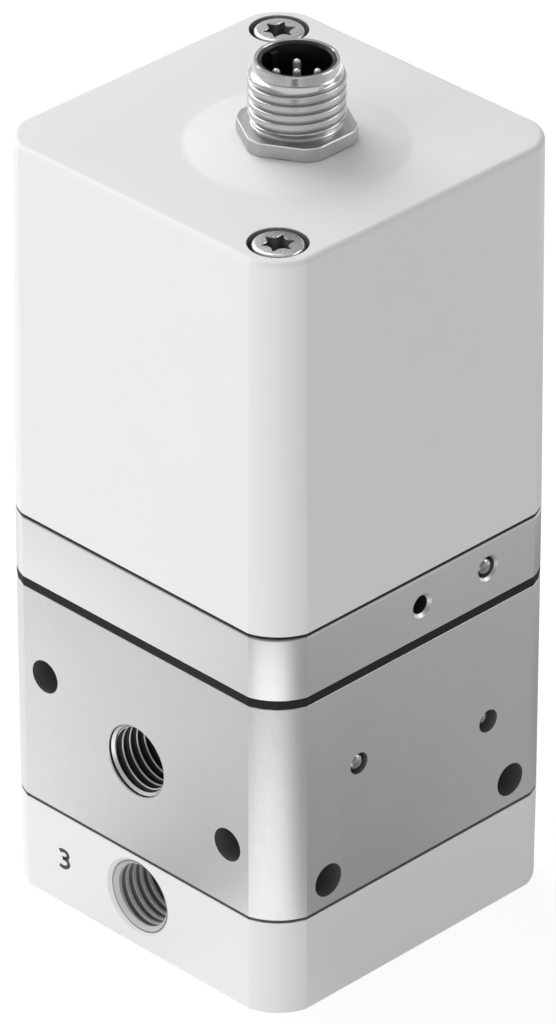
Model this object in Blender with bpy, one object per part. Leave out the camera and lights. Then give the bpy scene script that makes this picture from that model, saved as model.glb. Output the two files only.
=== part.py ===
# Electrically set pneumatic pressure regulator, 50 mm square and about 118 mm high.
#
# From the bottom up: base cap with the exhaust port, valve block with the supply and output ports,
# a rubber diaphragm whose rim shows between the two metal blocks, the pilot plate, and a plastic
# cover over two small pilot valves, a pressure sensor and the electronics.
#
# Frame: metres, Z up. The origin is on the body's axis at the underside of the base cap. The supply
# port faces -Y, the output port +Y. All sizes below are real ones.

import math

import bmesh
import bpy
from mathutils import Vector

# Outline shared by every layer: a square whose corners are cut by shallow arcs
BODY_WIDTH = 0.0500
CORNER_CHAMFER = 0.0051  # from the square's corner to the crease, along each face
CORNER_RADIUS = 0.0076

# Layers, bottom to top
BASE_HEIGHT = 0.0136
GASKET_THICKNESS = 0.0004
BLOCK_HEIGHT = 0.0308
DIAPHRAGM_RIM = 0.0012
PLATE_HEIGHT = 0.0088
COVER_HEIGHT = 0.0515

# Moulded shapes
BASE_DRAFT = 0.00012
BASE_EDGE_ROUND = 0.0004
COVER_DRAFT = 0.0004
COVER_EDGE_ROUND = 0.0008
COVER_WALL = 0.0022
COVER_ROOF = 0.0026
DOME_RADIUS = 0.0139
DOME_LAND_RADIUS = 0.0079
DOME_HEIGHT = 0.0011

# Clearances
SEAT_GAP = 0.00003  # between flat faces that rest on each other
FIT_GAP = 0.0001  # radial, round pieces in their holes
SEAL_GAP = 0.0001  # between a closed valve seat and its seal

# Threaded ports
PORT_RADIUS = 0.004865
PORT_CHAMFER = 0.00025
PORT_DRILL_RADIUS = 0.0035
FLOW_PORT_HEIGHT = 0.0137  # above the block's underside
SUPPLY_PORT_DEPTH = 0.0145
OUTPUT_PORT_DEPTH = 0.0110
OUTPUT_RISER_RADIUS = 0.0030
EXHAUST_PORT_HEIGHT = 0.0074
EXHAUST_PORT_DEPTH = 0.0120
EXHAUST_MOUTH_RADIUS = 0.0052
EXHAUST_MOUTH_DEPTH = 0.0012
EXHAUST_WELL_RADIUS = 0.0040
EXHAUST_WELL_FLOOR = 0.0034

# Through holes for mounting, in the block
MOUNT_HOLE_RADIUS = 0.00225
MOUNT_HOLE_INSET = 0.0088  # from the block's side to the hole's axis
UPPER_MOUNT_HEIGHT = 0.0189
LOWER_MOUNT_HEIGHT = 0.00895
CROSS_MOUNT_HEIGHT = 0.00375

# Main valve
SUPPLY_CHAMBER_RADIUS = 0.20 * BODY_WIDTH
SEAT_HOLE_RADIUS = 0.0045
SEAT_LIP_WIDTH = 0.0010
SEAT_LIP_HEIGHT = 0.0004
SEAT_WALL = 0.0025
SEAT_DEPTH = 0.0113  # from the block's top to the seat wall
THROAT_RADIUS = 0.0065
RISER_CLEARANCE = 0.001585  # from the output chamber to a riser's axis
OUTPUT_CHAMBER_DEPTH = 0.0068
POPPET_HEAD_RADIUS = 0.0069
POPPET_HEAD_HEIGHT = 0.0037
POPPET_BORE_RADIUS = 0.0020
POPPET_STEM_RADIUS = 0.0035
STEM_TAIL = 0.0006  # stem below the top of the base cap
DISC_RADIUS = 0.0062
DISC_THICKNESS = 0.0015
DISC_PROUD = 0.0003
GUIDE_FLANGE_HEIGHT = 0.0045
GUIDE_NECK_RADIUS = 0.0050
GUIDE_NECK_HEIGHT = 0.0030
RING_WIRE = 0.00072  # section radius of the valve's O-rings
GROOVE_HEIGHT = 0.0020
SPRING_WIRE = 0.00045
SPRING_TURNS = 4.5

# Diaphragm and what it carries
WEB_THICKNESS = 0.0006
WEB_ROLL_HEIGHT = 0.0008
TAPPET_RADIUS = 0.0028
ROLL_WIDTH = 0.0030  # from the lower disc to the chamber wall
LOWER_DISC_THICKNESS = 0.0016
UPPER_DISC_STEP = 0.0005
UPPER_DISC_THICKNESS = 0.0014
STUD_RADIUS = 0.0020
NUT_ACROSS_FLATS = 0.0070
NUT_HEIGHT = 0.0020

# Pilot plate
PILOT_CHAMBER_DEPTH = 0.0023
PILOT_WELL_RADIUS = 0.0052
PILOT_WELL_DEPTH = 0.0048
VENT_HEIGHT = 0.00446  # above the plate's underside
VENT_RADIUS = 0.00125
VENT_CHAMFER = 0.00035
PLATE_BALL_Y = 0.232 * BODY_WIDTH
PLATE_BALL_HEIGHT = 0.00486
PLATE_BALL_RADIUS = 0.0013
BLOCK_BALL_RADIUS = 0.0012
BALL_CHAMFER = 0.0003
UPPER_BALL_Y = -0.218 * BODY_WIDTH
UPPER_BALL_HEIGHT = 0.01845
LOWER_BALL_Y = 0.2412 * BODY_WIDTH
LOWER_BALL_HEIGHT = 0.01431
RISER_RADIUS = 0.00085
SENSE_Y = 0.236 * BODY_WIDTH

# Pilot valves
VALVE_TO_SCREW = 0.01215  # along X, from the valves' axes to the cover's front screw
VALVE_OFFSET = 0.11 * BODY_WIDTH  # from a valve's axis to its side passage
VALVE_LENGTH = 0.348 * BODY_WIDTH
VALVE_WIDTH = 0.21 * BODY_WIDTH
VALVE_BASE_HEIGHT = 0.0075
NOZZLE_RADIUS = 0.0011
NOZZLE_HOLE_RADIUS = 0.0005
NOZZLE_TOP = 0.0025
VALVE_PASSAGE_RADIUS = 0.0008
ARMATURE_SIDE = 0.0024  # from the armature to the valve body's side
ARMATURE_LENGTH = 0.0130
ARMATURE_LIFT = 0.0004
ARMATURE_RUNNING_GAP = 0.00015
TUBE_WALL = 0.0005
TUBE_SEAT_DEPTH = 0.0015
CORE_LENGTH = 0.0068
COIL_SIDE_GAP = 0.00025
COIL_HEIGHT = 0.0122
YOKE_THICKNESS = 0.0012
PILOT_SPRING_RADIUS = 0.00105
PILOT_SPRING_WIRE = 0.00018
PILOT_SPRING_DEPTH = 0.0050
VALVE_SCREW_REACH = 0.15 * BODY_WIDTH

# Screws: shank radius, head radius, head height
COVER_SCREW_INSET = 0.00585  # from the body's sides to the screw's axis
COVER_SCREW = (0.0017, 0.0033, 0.0030)
COVER_COUNTERBORE_GAP = 0.000475
COVER_SCREW_SINK = 0.0003
COVER_COLUMN_RADIUS = 0.0046  # round the screw's head
COVER_BOSS_RADIUS = 0.0037  # below it
COVER_SCREW_GRIP = 0.0060
BASE_SCREW_INSET = 0.0045
BASE_SCREW = (0.0015, 0.00275, 0.0030)
BASE_SCREW_GRIP = 0.0110
PLATE_SCREW_X = 0.0095
PLATE_SCREW_INSET = 0.0052
PLATE_SCREW = (0.0015, 0.00275, 0.0030)
PLATE_SCREW_GRIP = 0.0070
VALVE_SCREW = (0.0007, 0.0011, 0.0011)
VALVE_SCREW_GRIP = 0.0023
SCREW_SINK = 0.0004
LOBE_RADIUS = 0.0020
LOBE_DEPTH = 0.0016

# Electrical connector
CONNECTOR_X = 0.00315
FLANGE_ACROSS_FLATS = 0.0138
FLANGE_CORNER_RADIUS = 0.00745
FLANGE_HEIGHT = 0.00185
SLEEVE_RADIUS = 0.0060
SLEEVE_UNDERCUT_RADIUS = 0.0054
SLEEVE_UNDERCUT_HEIGHT = 0.0008
SLEEVE_THREAD_HEIGHT = 0.0067
SLEEVE_COLLAR_RADIUS = 0.00525
SLEEVE_COLLAR_HEIGHT = 0.0010
SLEEVE_EDGE = 0.0004
BARREL_RADIUS = 0.0057
BARREL_LENGTH = 0.0069
INSERT_RADIUS = 0.00470
INSERT_WALL = 0.00040
INSERT_SUNK = 0.00025
INSERT_FLOOR = 0.0090  # below the sleeve's rim
KEY_WIDTH = 0.0010
KEY_REACH = 0.0006
PIN_RADIUS = 0.0005
PIN_CIRCLE_RADIUS = 0.0025
PIN_SUNK = 0.0017
PIN_TAIL = 0.0050
PIN_GAP = 0.00006
CONNECTOR_SEAL_CHAMFER = 0.0010
CONNECTOR_NUT_ACROSS_FLATS = 0.0140
CONNECTOR_NUT_HEIGHT = 0.0026

# Electronics
BOARD_THICKNESS = 0.0014
CONTROL_BOARD_INSET = 0.0105  # from the cover's wall to the board's middle
CONTROL_BOARD_TOP_GAP = 0.0050
RAIL_THICKNESS = 0.0012
RAIL_DEPTH = 0.0018
RAIL_SLOT_GAP = 0.00015
BOARD_SIDE_GAP = 0.0002
CONNECTOR_BOARD_SIZE = (0.0220, 0.0190)
CONNECTOR_BOARD_DROP = 0.0018
HEADER_SIZE = (0.0030, 0.0120, 0.0026)
CHIP_SIZE = (0.0016, 0.0100, 0.0100)
CHIP_AT = (0.0030, 0.0210)  # along Y, and above the board's lower edge
SENSOR_SIZE = (0.0080, 0.0070, 0.0046)
SENSOR_STUB_RADIUS = 0.0015
SENSOR_STUB_LENGTH = 0.0025

# Smoothness of round shapes
OVERCUT = 0.0010
CORNER_STEPS = 4
EDGE_STEPS = 2
PORT_FACETS = 24
BORE_FACETS = 24
HOLE_FACETS = 12
MOUNT_FACETS = 16
SMALL_FACETS = 8
PIN_HOLE_FACETS = 10
SPRING_FACETS = 10
RING_SIDES = 6
LOFT_CREASE = 16  # degrees, between a corner's facets and its crease with the face

# Levels worked out from the layers
BLOCK_BOTTOM = BASE_HEIGHT + GASKET_THICKNESS
BLOCK_TOP = BLOCK_BOTTOM + BLOCK_HEIGHT
PLATE_BOTTOM = BLOCK_TOP + DIAPHRAGM_RIM
PLATE_TOP = PLATE_BOTTOM + PLATE_HEIGHT
COVER_BOTTOM = PLATE_TOP + GASKET_THICKNESS
COVER_TOP = COVER_BOTTOM + COVER_HEIGHT
LAND_TOP = COVER_TOP + DOME_HEIGHT
ROOF_UNDERSIDE = COVER_TOP - COVER_ROOF
SEAT_UNDERSIDE = BLOCK_TOP - SEAT_DEPTH - SEAT_WALL
DISC_TOP = SEAT_UNDERSIDE - SEAT_LIP_HEIGHT - SEAL_GAP
POPPET_TOP = DISC_TOP - DISC_PROUD
STEM_BOTTOM = BASE_HEIGHT - STEM_TAIL
GUIDE_BOTTOM = BLOCK_BOTTOM + SEAT_GAP
GUIDE_SHOULDER = GUIDE_BOTTOM + GUIDE_FLANGE_HEIGHT
WEB_BOTTOM = BLOCK_TOP + (DIAPHRAGM_RIM - WEB_THICKNESS) / 2
WEB_TOP = WEB_BOTTOM + WEB_THICKNESS
SLEEVE_HEIGHT = (
    FLANGE_HEIGHT + SLEEVE_UNDERCUT_HEIGHT + SLEEVE_THREAD_HEIGHT + SLEEVE_COLLAR_HEIGHT
)
RIM_TOP = LAND_TOP + SEAT_GAP + SLEEVE_HEIGHT
SLEEVE_BOTTOM = LAND_TOP - BARREL_LENGTH
VALVE_X = BODY_WIDTH / 2 - COVER_SCREW_INSET - VALVE_TO_SCREW
RISER_X = VALVE_X + VALVE_OFFSET
OUTPUT_CHAMBER_RADIUS = math.hypot(RISER_X, UPPER_BALL_Y) - RISER_CLEARANCE
LOWER_DISC_RADIUS = OUTPUT_CHAMBER_RADIUS - ROLL_WIDTH
UPPER_DISC_RADIUS = LOWER_DISC_RADIUS - UPPER_DISC_STEP
ARMATURE_RADIUS = VALVE_WIDTH / 2 - ARMATURE_SIDE
COIL_RADIUS = VALVE_WIDTH / 2 - COIL_SIDE_GAP
VALVE_BOTTOM = PLATE_TOP + SEAT_GAP
CONTROL_BOARD_X = COVER_WALL + CONTROL_BOARD_INSET - BODY_WIDTH / 2

# Finishes: linear red, green and blue, roughness, metallic
WHITE_PLASTIC = ((0.82, 0.83, 0.83), 0.45, 0.0)
BLASTED_ALUMINIUM = ((0.58, 0.59, 0.59), 0.42, 1.0)
BRIGHT_ALUMINIUM = ((0.66, 0.67, 0.67), 0.30, 1.0)
BLACK_RUBBER = ((0.018, 0.018, 0.018), 0.75, 0.0)
BLACK_PLASTIC = ((0.012, 0.012, 0.012), 0.40, 0.0)
NICKEL = ((0.62, 0.60, 0.57), 0.20, 1.0)
STAINLESS = ((0.50, 0.50, 0.50), 0.28, 1.0)
BRASS = ((0.65, 0.45, 0.17), 0.30, 1.0)
COPPER = ((0.55, 0.22, 0.10), 0.40, 1.0)
BOARD_GREEN = ((0.02, 0.12, 0.05), 0.50, 0.0)


def clear_scene():
    for item in list(bpy.data.objects):
        bpy.data.objects.remove(item, do_unlink=True)


def make_material(name, finish):
    colour, roughness, metallic = finish
    material = bpy.data.materials.new(name)
    material.use_nodes = True
    shader = material.node_tree.nodes["Principled BSDF"]
    shader.inputs["Base Color"].default_value = (*colour, 1.0)
    shader.inputs["Roughness"].default_value = roughness
    shader.inputs["Metallic"].default_value = metallic
    return material


def add_object(name, form, finish, at, crease=35):
    """Turn a bmesh into a named object; finish None makes a hidden cutter."""
    bmesh.ops.recalc_face_normals(form, faces=form.faces)
    mesh = bpy.data.meshes.new(name)
    form.to_mesh(mesh)
    form.free()
    piece = bpy.data.objects.new(name, mesh)
    bpy.context.scene.collection.objects.link(piece)
    piece.location = at
    if finish is None:
        piece.hide_render = True
        piece.display_type = "WIRE"
        return piece
    mesh.materials.append(make_material(name, finish))
    mesh.shade_smooth()
    mesh.set_sharp_from_angle(angle=math.radians(crease))
    return piece


def turned(name, profile, finish=None, at=(0, 0, 0), facets=BORE_FACETS):
    """Revolve a section of (radius, height) points about Z."""
    form = bmesh.new()
    points = [form.verts.new((radius, 0, height)) for radius, height in profile]
    ends = list(zip(points, points[1:]))
    if profile[0][0] > 0 or profile[-1][0] > 0:
        ends.append((points[-1], points[0]))
    edges = [form.edges.new(pair) for pair in ends]
    bmesh.ops.spin(
        form,
        geom=points + edges,
        cent=(0, 0, 0),
        axis=(0, 0, 1),
        angle=2 * math.pi,
        steps=facets,
        use_merge=True,
    )
    bmesh.ops.remove_doubles(form, verts=form.verts, dist=1e-7)
    return add_object(name, form, finish, at)


def lofted(name, levels, finish=None, at=(0, 0, 0)):
    """Skin a stack of (height, outline) levels whose outlines have equally many points."""
    form = bmesh.new()
    rings = []
    for height, outline in levels:
        rings.append([form.verts.new((x, y, height)) for x, y in outline])
    for lower, upper in zip(rings, rings[1:]):
        for index in range(len(lower)):
            form.faces.new((lower[index - 1], lower[index], upper[index], upper[index - 1]))
    form.faces.new(rings[0])
    form.faces.new(rings[-1])
    return add_object(name, form, finish, at, crease=LOFT_CREASE)


def box(name, low, high, finish=None, bevel=0.0):
    """Box between two corners, placed by its centre, with bevelled edges if asked."""
    centre = (Vector(low) + Vector(high)) / 2
    size = Vector(high) - Vector(low)
    form = bmesh.new()
    bmesh.ops.create_cube(form, size=1.0)
    bmesh.ops.scale(form, vec=size, verts=form.verts)
    if bevel:
        bmesh.ops.bevel(form, geom=form.edges[:], offset=bevel, segments=1, affect="EDGES")
    return add_object(name, form, finish, centre)


def combine(target, other, operation):
    step = target.modifiers.new(other.name, "BOOLEAN")
    step.operation = operation
    step.solver = "EXACT"
    step.object = other


def cut(target, cutter):
    combine(target, cutter, "DIFFERENCE")


def join(target, addition):
    combine(target, addition, "UNION")


def drill(target, name, mouth, direction, sections, chamfer=0.0, facets=HOLE_FACETS, point=True):
    """Hole from its mouth along a direction, in (radius, depth) sections, ending in a drill point."""
    first = sections[0][0]
    lead = first + (chamfer + OVERCUT if chamfer else 0.0)
    profile = [(0, -OVERCUT), (lead, -OVERCUT)]
    if chamfer:
        profile.append((first, chamfer))
    for index, (radius, depth) in enumerate(sections):
        if index:
            profile.append((radius, sections[index - 1][1]))
        profile.append((radius, depth))
    tip = sections[-1][0] * math.tan(math.radians(31)) if point else 0.0
    profile.append((0, sections[-1][1] + tip))
    cutter = turned(name, profile, at=mouth, facets=facets)
    cutter.rotation_mode = "QUATERNION"
    cutter.rotation_quaternion = Vector(direction).to_track_quat("Z", "Y")
    cut(target, cutter)
    return cutter


def body_outline(grow=0.0):
    """Square with bowed corners, moved outwards by grow; the corner arcs keep their centres."""
    reach = (CORNER_CHAMFER + math.sqrt(2 * CORNER_RADIUS**2 - CORNER_CHAMFER**2)) / 2
    centre = BODY_WIDTH / 2 - reach
    radius = CORNER_RADIUS + grow
    spread = math.acos((reach + grow) / radius)
    points = []
    for corner in range(4):
        turn = corner * math.pi / 2
        for step in range(CORNER_STEPS + 1):
            angle = spread + (math.pi / 2 - 2 * spread) * step / CORNER_STEPS
            x = centre + radius * math.cos(angle)
            y = centre + radius * math.sin(angle)
            points.append(
                (x * math.cos(turn) - y * math.sin(turn), x * math.sin(turn) + y * math.cos(turn))
            )
    return points


def body_layer(low, high, grow_low=0.0, grow_high=0.0, round_low=0.0, round_high=0.0):
    """Levels of one body layer, drafted from one end to the other, with rounded end edges."""
    steps = [math.pi / 2 * step / EDGE_STEPS for step in range(EDGE_STEPS + 1)]
    marks = [(low, 0.0)]
    if round_low:
        marks = [(low + round_low * (1 - math.cos(a)), round_low * (1 - math.sin(a))) for a in steps]
    if round_high:
        marks += [
            (high - round_high * (1 - math.sin(a)), round_high * (1 - math.cos(a))) for a in steps
        ]
    else:
        marks.append((high, 0.0))
    levels = []
    for height, inset in marks:
        share = (height - low) / (high - low)
        grow = grow_low + (grow_high - grow_low) * share
        levels.append((height, body_outline(grow - inset)))
    return levels


def regular_outline(across_flats, sides=6, corner_radius=None):
    """Regular polygon, one flat facing +X; a corner radius turns the corners round on the axis."""
    flat = across_flats / 2
    corner = flat / math.cos(math.pi / sides)
    radius = min(corner_radius or corner, corner)
    half_flat = math.acos(flat / radius)
    points = []
    for side in range(sides):
        middle = 2 * math.pi * side / sides
        points.append((middle + half_flat, radius))
        if radius < corner:
            gap = 2 * math.pi / sides - 2 * half_flat
            points += [(middle + half_flat + gap * part, radius) for part in (0.34, 0.67, 1.0)]
    return [(r * math.cos(angle), r * math.sin(angle)) for angle, r in points]


def lobed_outline(radius, lobes=6, points=24):
    """Six-lobe driver recess: the radius swings by a fifth about its mean."""
    outline = []
    for index in range(points):
        angle = 2 * math.pi * index / points
        reach = radius * (0.86 + 0.14 * math.cos(lobes * angle))
        outline.append((reach * math.cos(angle), reach * math.sin(angle)))
    return outline


def circle_section(centre_radius, centre_height, radius, facets=RING_SIDES):
    points = []
    for index in range(facets):
        angle = -2 * math.pi * index / facets
        points.append(
            (centre_radius + radius * math.cos(angle), centre_height + radius * math.sin(angle))
        )
    return points


def coil_spring(name, finish, at, length, radius, wire, turns, facets=SPRING_FACETS, sides=4):
    """Compression spring of round wire with closed end coils, standing on at."""
    closed = 2 * wire + wire / 4
    bottom, top = wire, length - wire
    keys = ((0.0, bottom), (1.0, bottom + closed), (turns - 1, top - closed), (turns, top))
    form = bmesh.new()
    rings = []
    for step in range(int(turns * facets) + 1):
        turn = step / facets
        for (t0, z0), (t1, z1) in zip(keys, keys[1:]):
            if t0 <= turn <= t1:
                height = z0 + (z1 - z0) * (turn - t0) / (t1 - t0)
        angle = 2 * math.pi * turn
        ring = []
        for side in range(sides):
            swing = 2 * math.pi * side / sides
            reach = radius + wire * math.cos(swing)
            ring.append(
                form.verts.new(
                    (
                        reach * math.cos(angle),
                        reach * math.sin(angle),
                        height + wire * math.sin(swing),
                    )
                )
            )
        rings.append(ring)
    for lower, upper in zip(rings, rings[1:]):
        for index in range(sides):
            form.faces.new((lower[index - 1], lower[index], upper[index], upper[index - 1]))
    form.faces.new(rings[0])
    form.faces.new(rings[-1])
    return add_object(name, form, finish, at)


def ball(name, centre, radius, finish):
    form = bmesh.new()
    bmesh.ops.create_uvsphere(form, u_segments=12, v_segments=6, radius=radius)
    return add_object(name, form, finish, centre)


def screw(name, seat, up, size, length, recess, finish=STAINLESS):
    """Cap screw whose head rests on seat; up is 1 for a head on top and -1 for one underneath."""
    shank, head, head_height = size
    edge = head * 0.12
    profile = [
        (0, head_height),
        (head - edge, head_height),
        (head, head_height - edge),
        (head, SEAT_GAP),
        (shank, SEAT_GAP),
        (shank, -length),
        (0, -length),
    ]
    piece = turned(name, profile, finish, seat, facets=16 if recess == "lobes" else SMALL_FACETS)
    if up < 0:
        piece.rotation_euler.x = math.pi
    if recess == "lobes":
        outline = lobed_outline(LOBE_RADIUS)
        depth = LOBE_DEPTH
    else:
        outline = regular_outline(head * 0.9)
        depth = head_height * 0.5
    height = (head_height - depth, head_height + OVERCUT)
    tool = lofted(name + "_recess", [(level, outline) for level in height], at=seat)
    tool.rotation_euler = piece.rotation_euler
    cut(piece, tool)
    return piece


def base_screw_places():
    reach = BODY_WIDTH / 2 - BASE_SCREW_INSET
    return [(x, y) for x in (-reach, reach) for y in (-reach, reach)]


def cover_screw_places():
    reach = BODY_WIDTH / 2 - COVER_SCREW_INSET
    return (("front", reach, -reach), ("back", -reach, reach))


def plate_screw_places():
    x = PLATE_SCREW_X
    y = BODY_WIDTH / 2 - PLATE_SCREW_INSET
    return [(-x, -y), (x, -y), (-x, y), (x, y)]


def valve_screw_places():
    return [
        (VALVE_X + side * VALVE_SCREW_REACH, y) for y in (UPPER_BALL_Y, 0.0) for side in (-1, 1)
    ]


def pin_places():
    """Centre contact first, then the four on the circle."""
    places = [(CONNECTOR_X, 0.0)]
    for quarter in range(4):
        angle = math.pi / 4 + quarter * math.pi / 2
        places.append(
            (
                CONNECTOR_X + PIN_CIRCLE_RADIUS * math.cos(angle),
                PIN_CIRCLE_RADIUS * math.sin(angle),
            )
        )
    return places


def make_base():
    """Base cap with the exhaust port, an upright well to it and four counterbored screw holes."""
    levels = body_layer(0, BASE_HEIGHT, -BASE_DRAFT, 0, round_low=BASE_EDGE_ROUND)
    cap = lofted("base_cap", levels, WHITE_PLASTIC)
    drill(
        cap,
        "cut_exhaust_well",
        (0, 0, BASE_HEIGHT),
        (0, 0, -1),
        [(EXHAUST_WELL_RADIUS, BASE_HEIGHT - EXHAUST_WELL_FLOOR)],
        facets=BORE_FACETS,
        point=False,
    )
    drill(
        cap,
        "cut_exhaust_port",
        (0, -BODY_WIDTH / 2, EXHAUST_PORT_HEIGHT),
        (0, 1, 0),
        [
            (EXHAUST_MOUTH_RADIUS, EXHAUST_MOUTH_DEPTH),
            (PORT_RADIUS, EXHAUST_PORT_DEPTH),
            (PORT_DRILL_RADIUS, BODY_WIDTH / 2),
        ],
        facets=PORT_FACETS,
        point=False,
    )
    shank, head, head_height = BASE_SCREW
    seat = SCREW_SINK + head_height
    for index, (x, y) in enumerate(base_screw_places(), 1):
        drill(
            cap,
            f"cut_base_screw_{index}",
            (x, y, 0),
            (0, 0, 1),
            [(head + FIT_GAP, seat), (shank + FIT_GAP, BASE_HEIGHT + OVERCUT)],
            point=False,
        )
        length = BASE_HEIGHT - seat + GASKET_THICKNESS + BASE_SCREW_GRIP
        screw(f"base_screw_{index}", (x, y, seat), -1, BASE_SCREW, length, "hex")

    gasket = lofted(
        "base_gasket",
        body_layer(BASE_HEIGHT + SEAT_GAP, BLOCK_BOTTOM - SEAT_GAP, -SEAT_GAP, -SEAT_GAP),
        BLACK_RUBBER,
    )
    holes = [(0, 0, EXHAUST_WELL_RADIUS)]
    holes += [(x, y, shank + FIT_GAP) for x, y in base_screw_places()]
    pierce(gasket, holes, BLOCK_BOTTOM)


def pierce(sheet, holes, top):
    """Straight round holes down through a thin sheet, each an (x, y, radius)."""
    for index, (x, y, radius) in enumerate(holes):
        name = f"cut_{sheet.name}_{index}"
        count = SMALL_FACETS if radius < TAPPET_RADIUS else BORE_FACETS
        sections = [(radius, 2 * OVERCUT)]
        drill(sheet, name, (x, y, top), (0, 0, -1), sections, facets=count, point=False)


def make_block():
    """Valve block: two flow ports, the valve's chambers, mounting holes and cross drillings."""
    half = BODY_WIDTH / 2
    block = lofted("valve_block", body_layer(BLOCK_BOTTOM, BLOCK_TOP), BLASTED_ALUMINIUM)
    cut(block, turned("cut_supply_chamber", supply_chamber_section()))
    cut(block, turned("cut_output_chamber", output_chamber_section()))
    port_height = BLOCK_BOTTOM + FLOW_PORT_HEIGHT
    drill(
        block,
        "cut_supply_port",
        (0, -half, port_height),
        (0, 1, 0),
        [(PORT_RADIUS, SUPPLY_PORT_DEPTH), (PORT_DRILL_RADIUS, half - POPPET_HEAD_RADIUS)],
        PORT_CHAMFER,
        PORT_FACETS,
        point=False,
    )
    drill(
        block,
        "cut_output_port",
        (0, half, port_height),
        (0, -1, 0),
        [(PORT_RADIUS, OUTPUT_PORT_DEPTH)],
        PORT_CHAMFER,
        PORT_FACETS,
        point=False,
    )
    riser_depth = BLOCK_HEIGHT - FLOW_PORT_HEIGHT + OUTPUT_RISER_RADIUS
    drill(
        block,
        "cut_output_riser",
        (0, half - OUTPUT_PORT_DEPTH, BLOCK_TOP - OUTPUT_CHAMBER_DEPTH),
        (0, 0, -1),
        [(OUTPUT_RISER_RADIUS, riser_depth - OUTPUT_CHAMBER_DEPTH)],
        facets=HOLE_FACETS,
        point=False,
    )
    drill_mounting_holes(block)
    drill_block_passages(block)
    for index, (x, y) in enumerate(base_screw_places(), 1):
        hole = [(BASE_SCREW[0] + FIT_GAP, BASE_SCREW_GRIP + OVERCUT)]
        mouth = (x, y, BLOCK_BOTTOM)
        name = f"cut_block_base_{index}"
        drill(block, name, mouth, (0, 0, 1), hole, facets=SMALL_FACETS, point=False)
    for index, (x, y) in enumerate(plate_screw_places(), 1):
        hole = [(PLATE_SCREW[0] + FIT_GAP, PLATE_SCREW_GRIP + OVERCUT)]
        mouth = (x, y, BLOCK_TOP)
        name = f"cut_block_plate_{index}"
        drill(block, name, mouth, (0, 0, -1), hole, facets=SMALL_FACETS, point=False)


def supply_chamber_section():
    """Lower chamber, open at the bottom, with the seat lip left standing round the seat hole."""
    lip_outer = SEAT_HOLE_RADIUS + SEAT_LIP_WIDTH
    lip_bottom = SEAT_UNDERSIDE - SEAT_LIP_HEIGHT
    return [
        (0, BLOCK_BOTTOM - OVERCUT),
        (SUPPLY_CHAMBER_RADIUS, BLOCK_BOTTOM - OVERCUT),
        (SUPPLY_CHAMBER_RADIUS, SEAT_UNDERSIDE),
        (lip_outer, SEAT_UNDERSIDE),
        (lip_outer, lip_bottom),
        (0, lip_bottom),
    ]


def output_chamber_section():
    """Seat hole, throat and the wide chamber under the diaphragm."""
    seat_top = SEAT_UNDERSIDE + SEAT_WALL
    floor = BLOCK_TOP - OUTPUT_CHAMBER_DEPTH
    return [
        (0, SEAT_UNDERSIDE - SEAT_LIP_HEIGHT - OVERCUT / 2),
        (SEAT_HOLE_RADIUS, SEAT_UNDERSIDE - SEAT_LIP_HEIGHT - OVERCUT / 2),
        (SEAT_HOLE_RADIUS, seat_top),
        (THROAT_RADIUS, seat_top),
        (THROAT_RADIUS, floor),
        (OUTPUT_CHAMBER_RADIUS, floor),
        (OUTPUT_CHAMBER_RADIUS, BLOCK_TOP + OVERCUT),
        (0, BLOCK_TOP + OVERCUT),
    ]


def drill_mounting_holes(block):
    half = BODY_WIDTH / 2
    side = half - MOUNT_HOLE_INSET
    through = [(MOUNT_HOLE_RADIUS, BODY_WIDTH + OVERCUT)]
    holes = (
        ("upper", (-side, -half, UPPER_MOUNT_HEIGHT), (0, 1, 0)),
        ("lower", (side, -half, LOWER_MOUNT_HEIGHT), (0, 1, 0)),
        ("near", (half, -side, CROSS_MOUNT_HEIGHT), (-1, 0, 0)),
        ("far", (half, side, CROSS_MOUNT_HEIGHT), (-1, 0, 0)),
    )
    for name, (x, y, height), direction in holes:
        mouth = (x, y, BLOCK_BOTTOM + height)
        drill(block, f"cut_mount_{name}", mouth, direction, through, facets=MOUNT_FACETS, point=False)


def drill_block_passages(block):
    """Supply and sense lines to the pilot side: cross drillings closed by balls, and risers."""
    half = BODY_WIDTH / 2
    lines = (
        ("upper", UPPER_BALL_Y, UPPER_BALL_HEIGHT, UPPER_BALL_Y, BALL_CHAMFER * 0.8),
        ("lower", LOWER_BALL_Y, LOWER_BALL_HEIGHT, SENSE_Y, BALL_CHAMFER),
    )
    for name, y, height, riser_y, chamfer in lines:
        level = BLOCK_BOTTOM + height
        drill(
            block,
            f"cut_block_cross_{name}",
            (half, y, level),
            (-1, 0, 0),
            [(BLOCK_BALL_RADIUS, half)],
            chamfer,
            point=False,
        )
        depth = BLOCK_TOP - level
        mouth = (RISER_X, riser_y, BLOCK_TOP)
        riser = [(RISER_RADIUS, depth)]
        name = f"cut_block_riser_{name}"
        drill(block, name, mouth, (0, 0, -1), riser, facets=SMALL_FACETS, point=False)


def make_ball_plugs():
    half = BODY_WIDTH / 2
    plugs = (
        ("block_ball_upper", UPPER_BALL_Y, BLOCK_BOTTOM + UPPER_BALL_HEIGHT, BLOCK_BALL_RADIUS, 0.9),
        ("block_ball_lower", LOWER_BALL_Y, BLOCK_BOTTOM + LOWER_BALL_HEIGHT, BLOCK_BALL_RADIUS, 1.7),
        ("plate_ball", PLATE_BALL_Y, PLATE_BOTTOM + PLATE_BALL_HEIGHT, PLATE_BALL_RADIUS, 1.1),
    )
    for name, y, height, hole, depth in plugs:
        radius = hole - FIT_GAP / 2
        ball(name, (half - depth * hole - BALL_CHAMFER, y, height), radius, STAINLESS)


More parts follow.
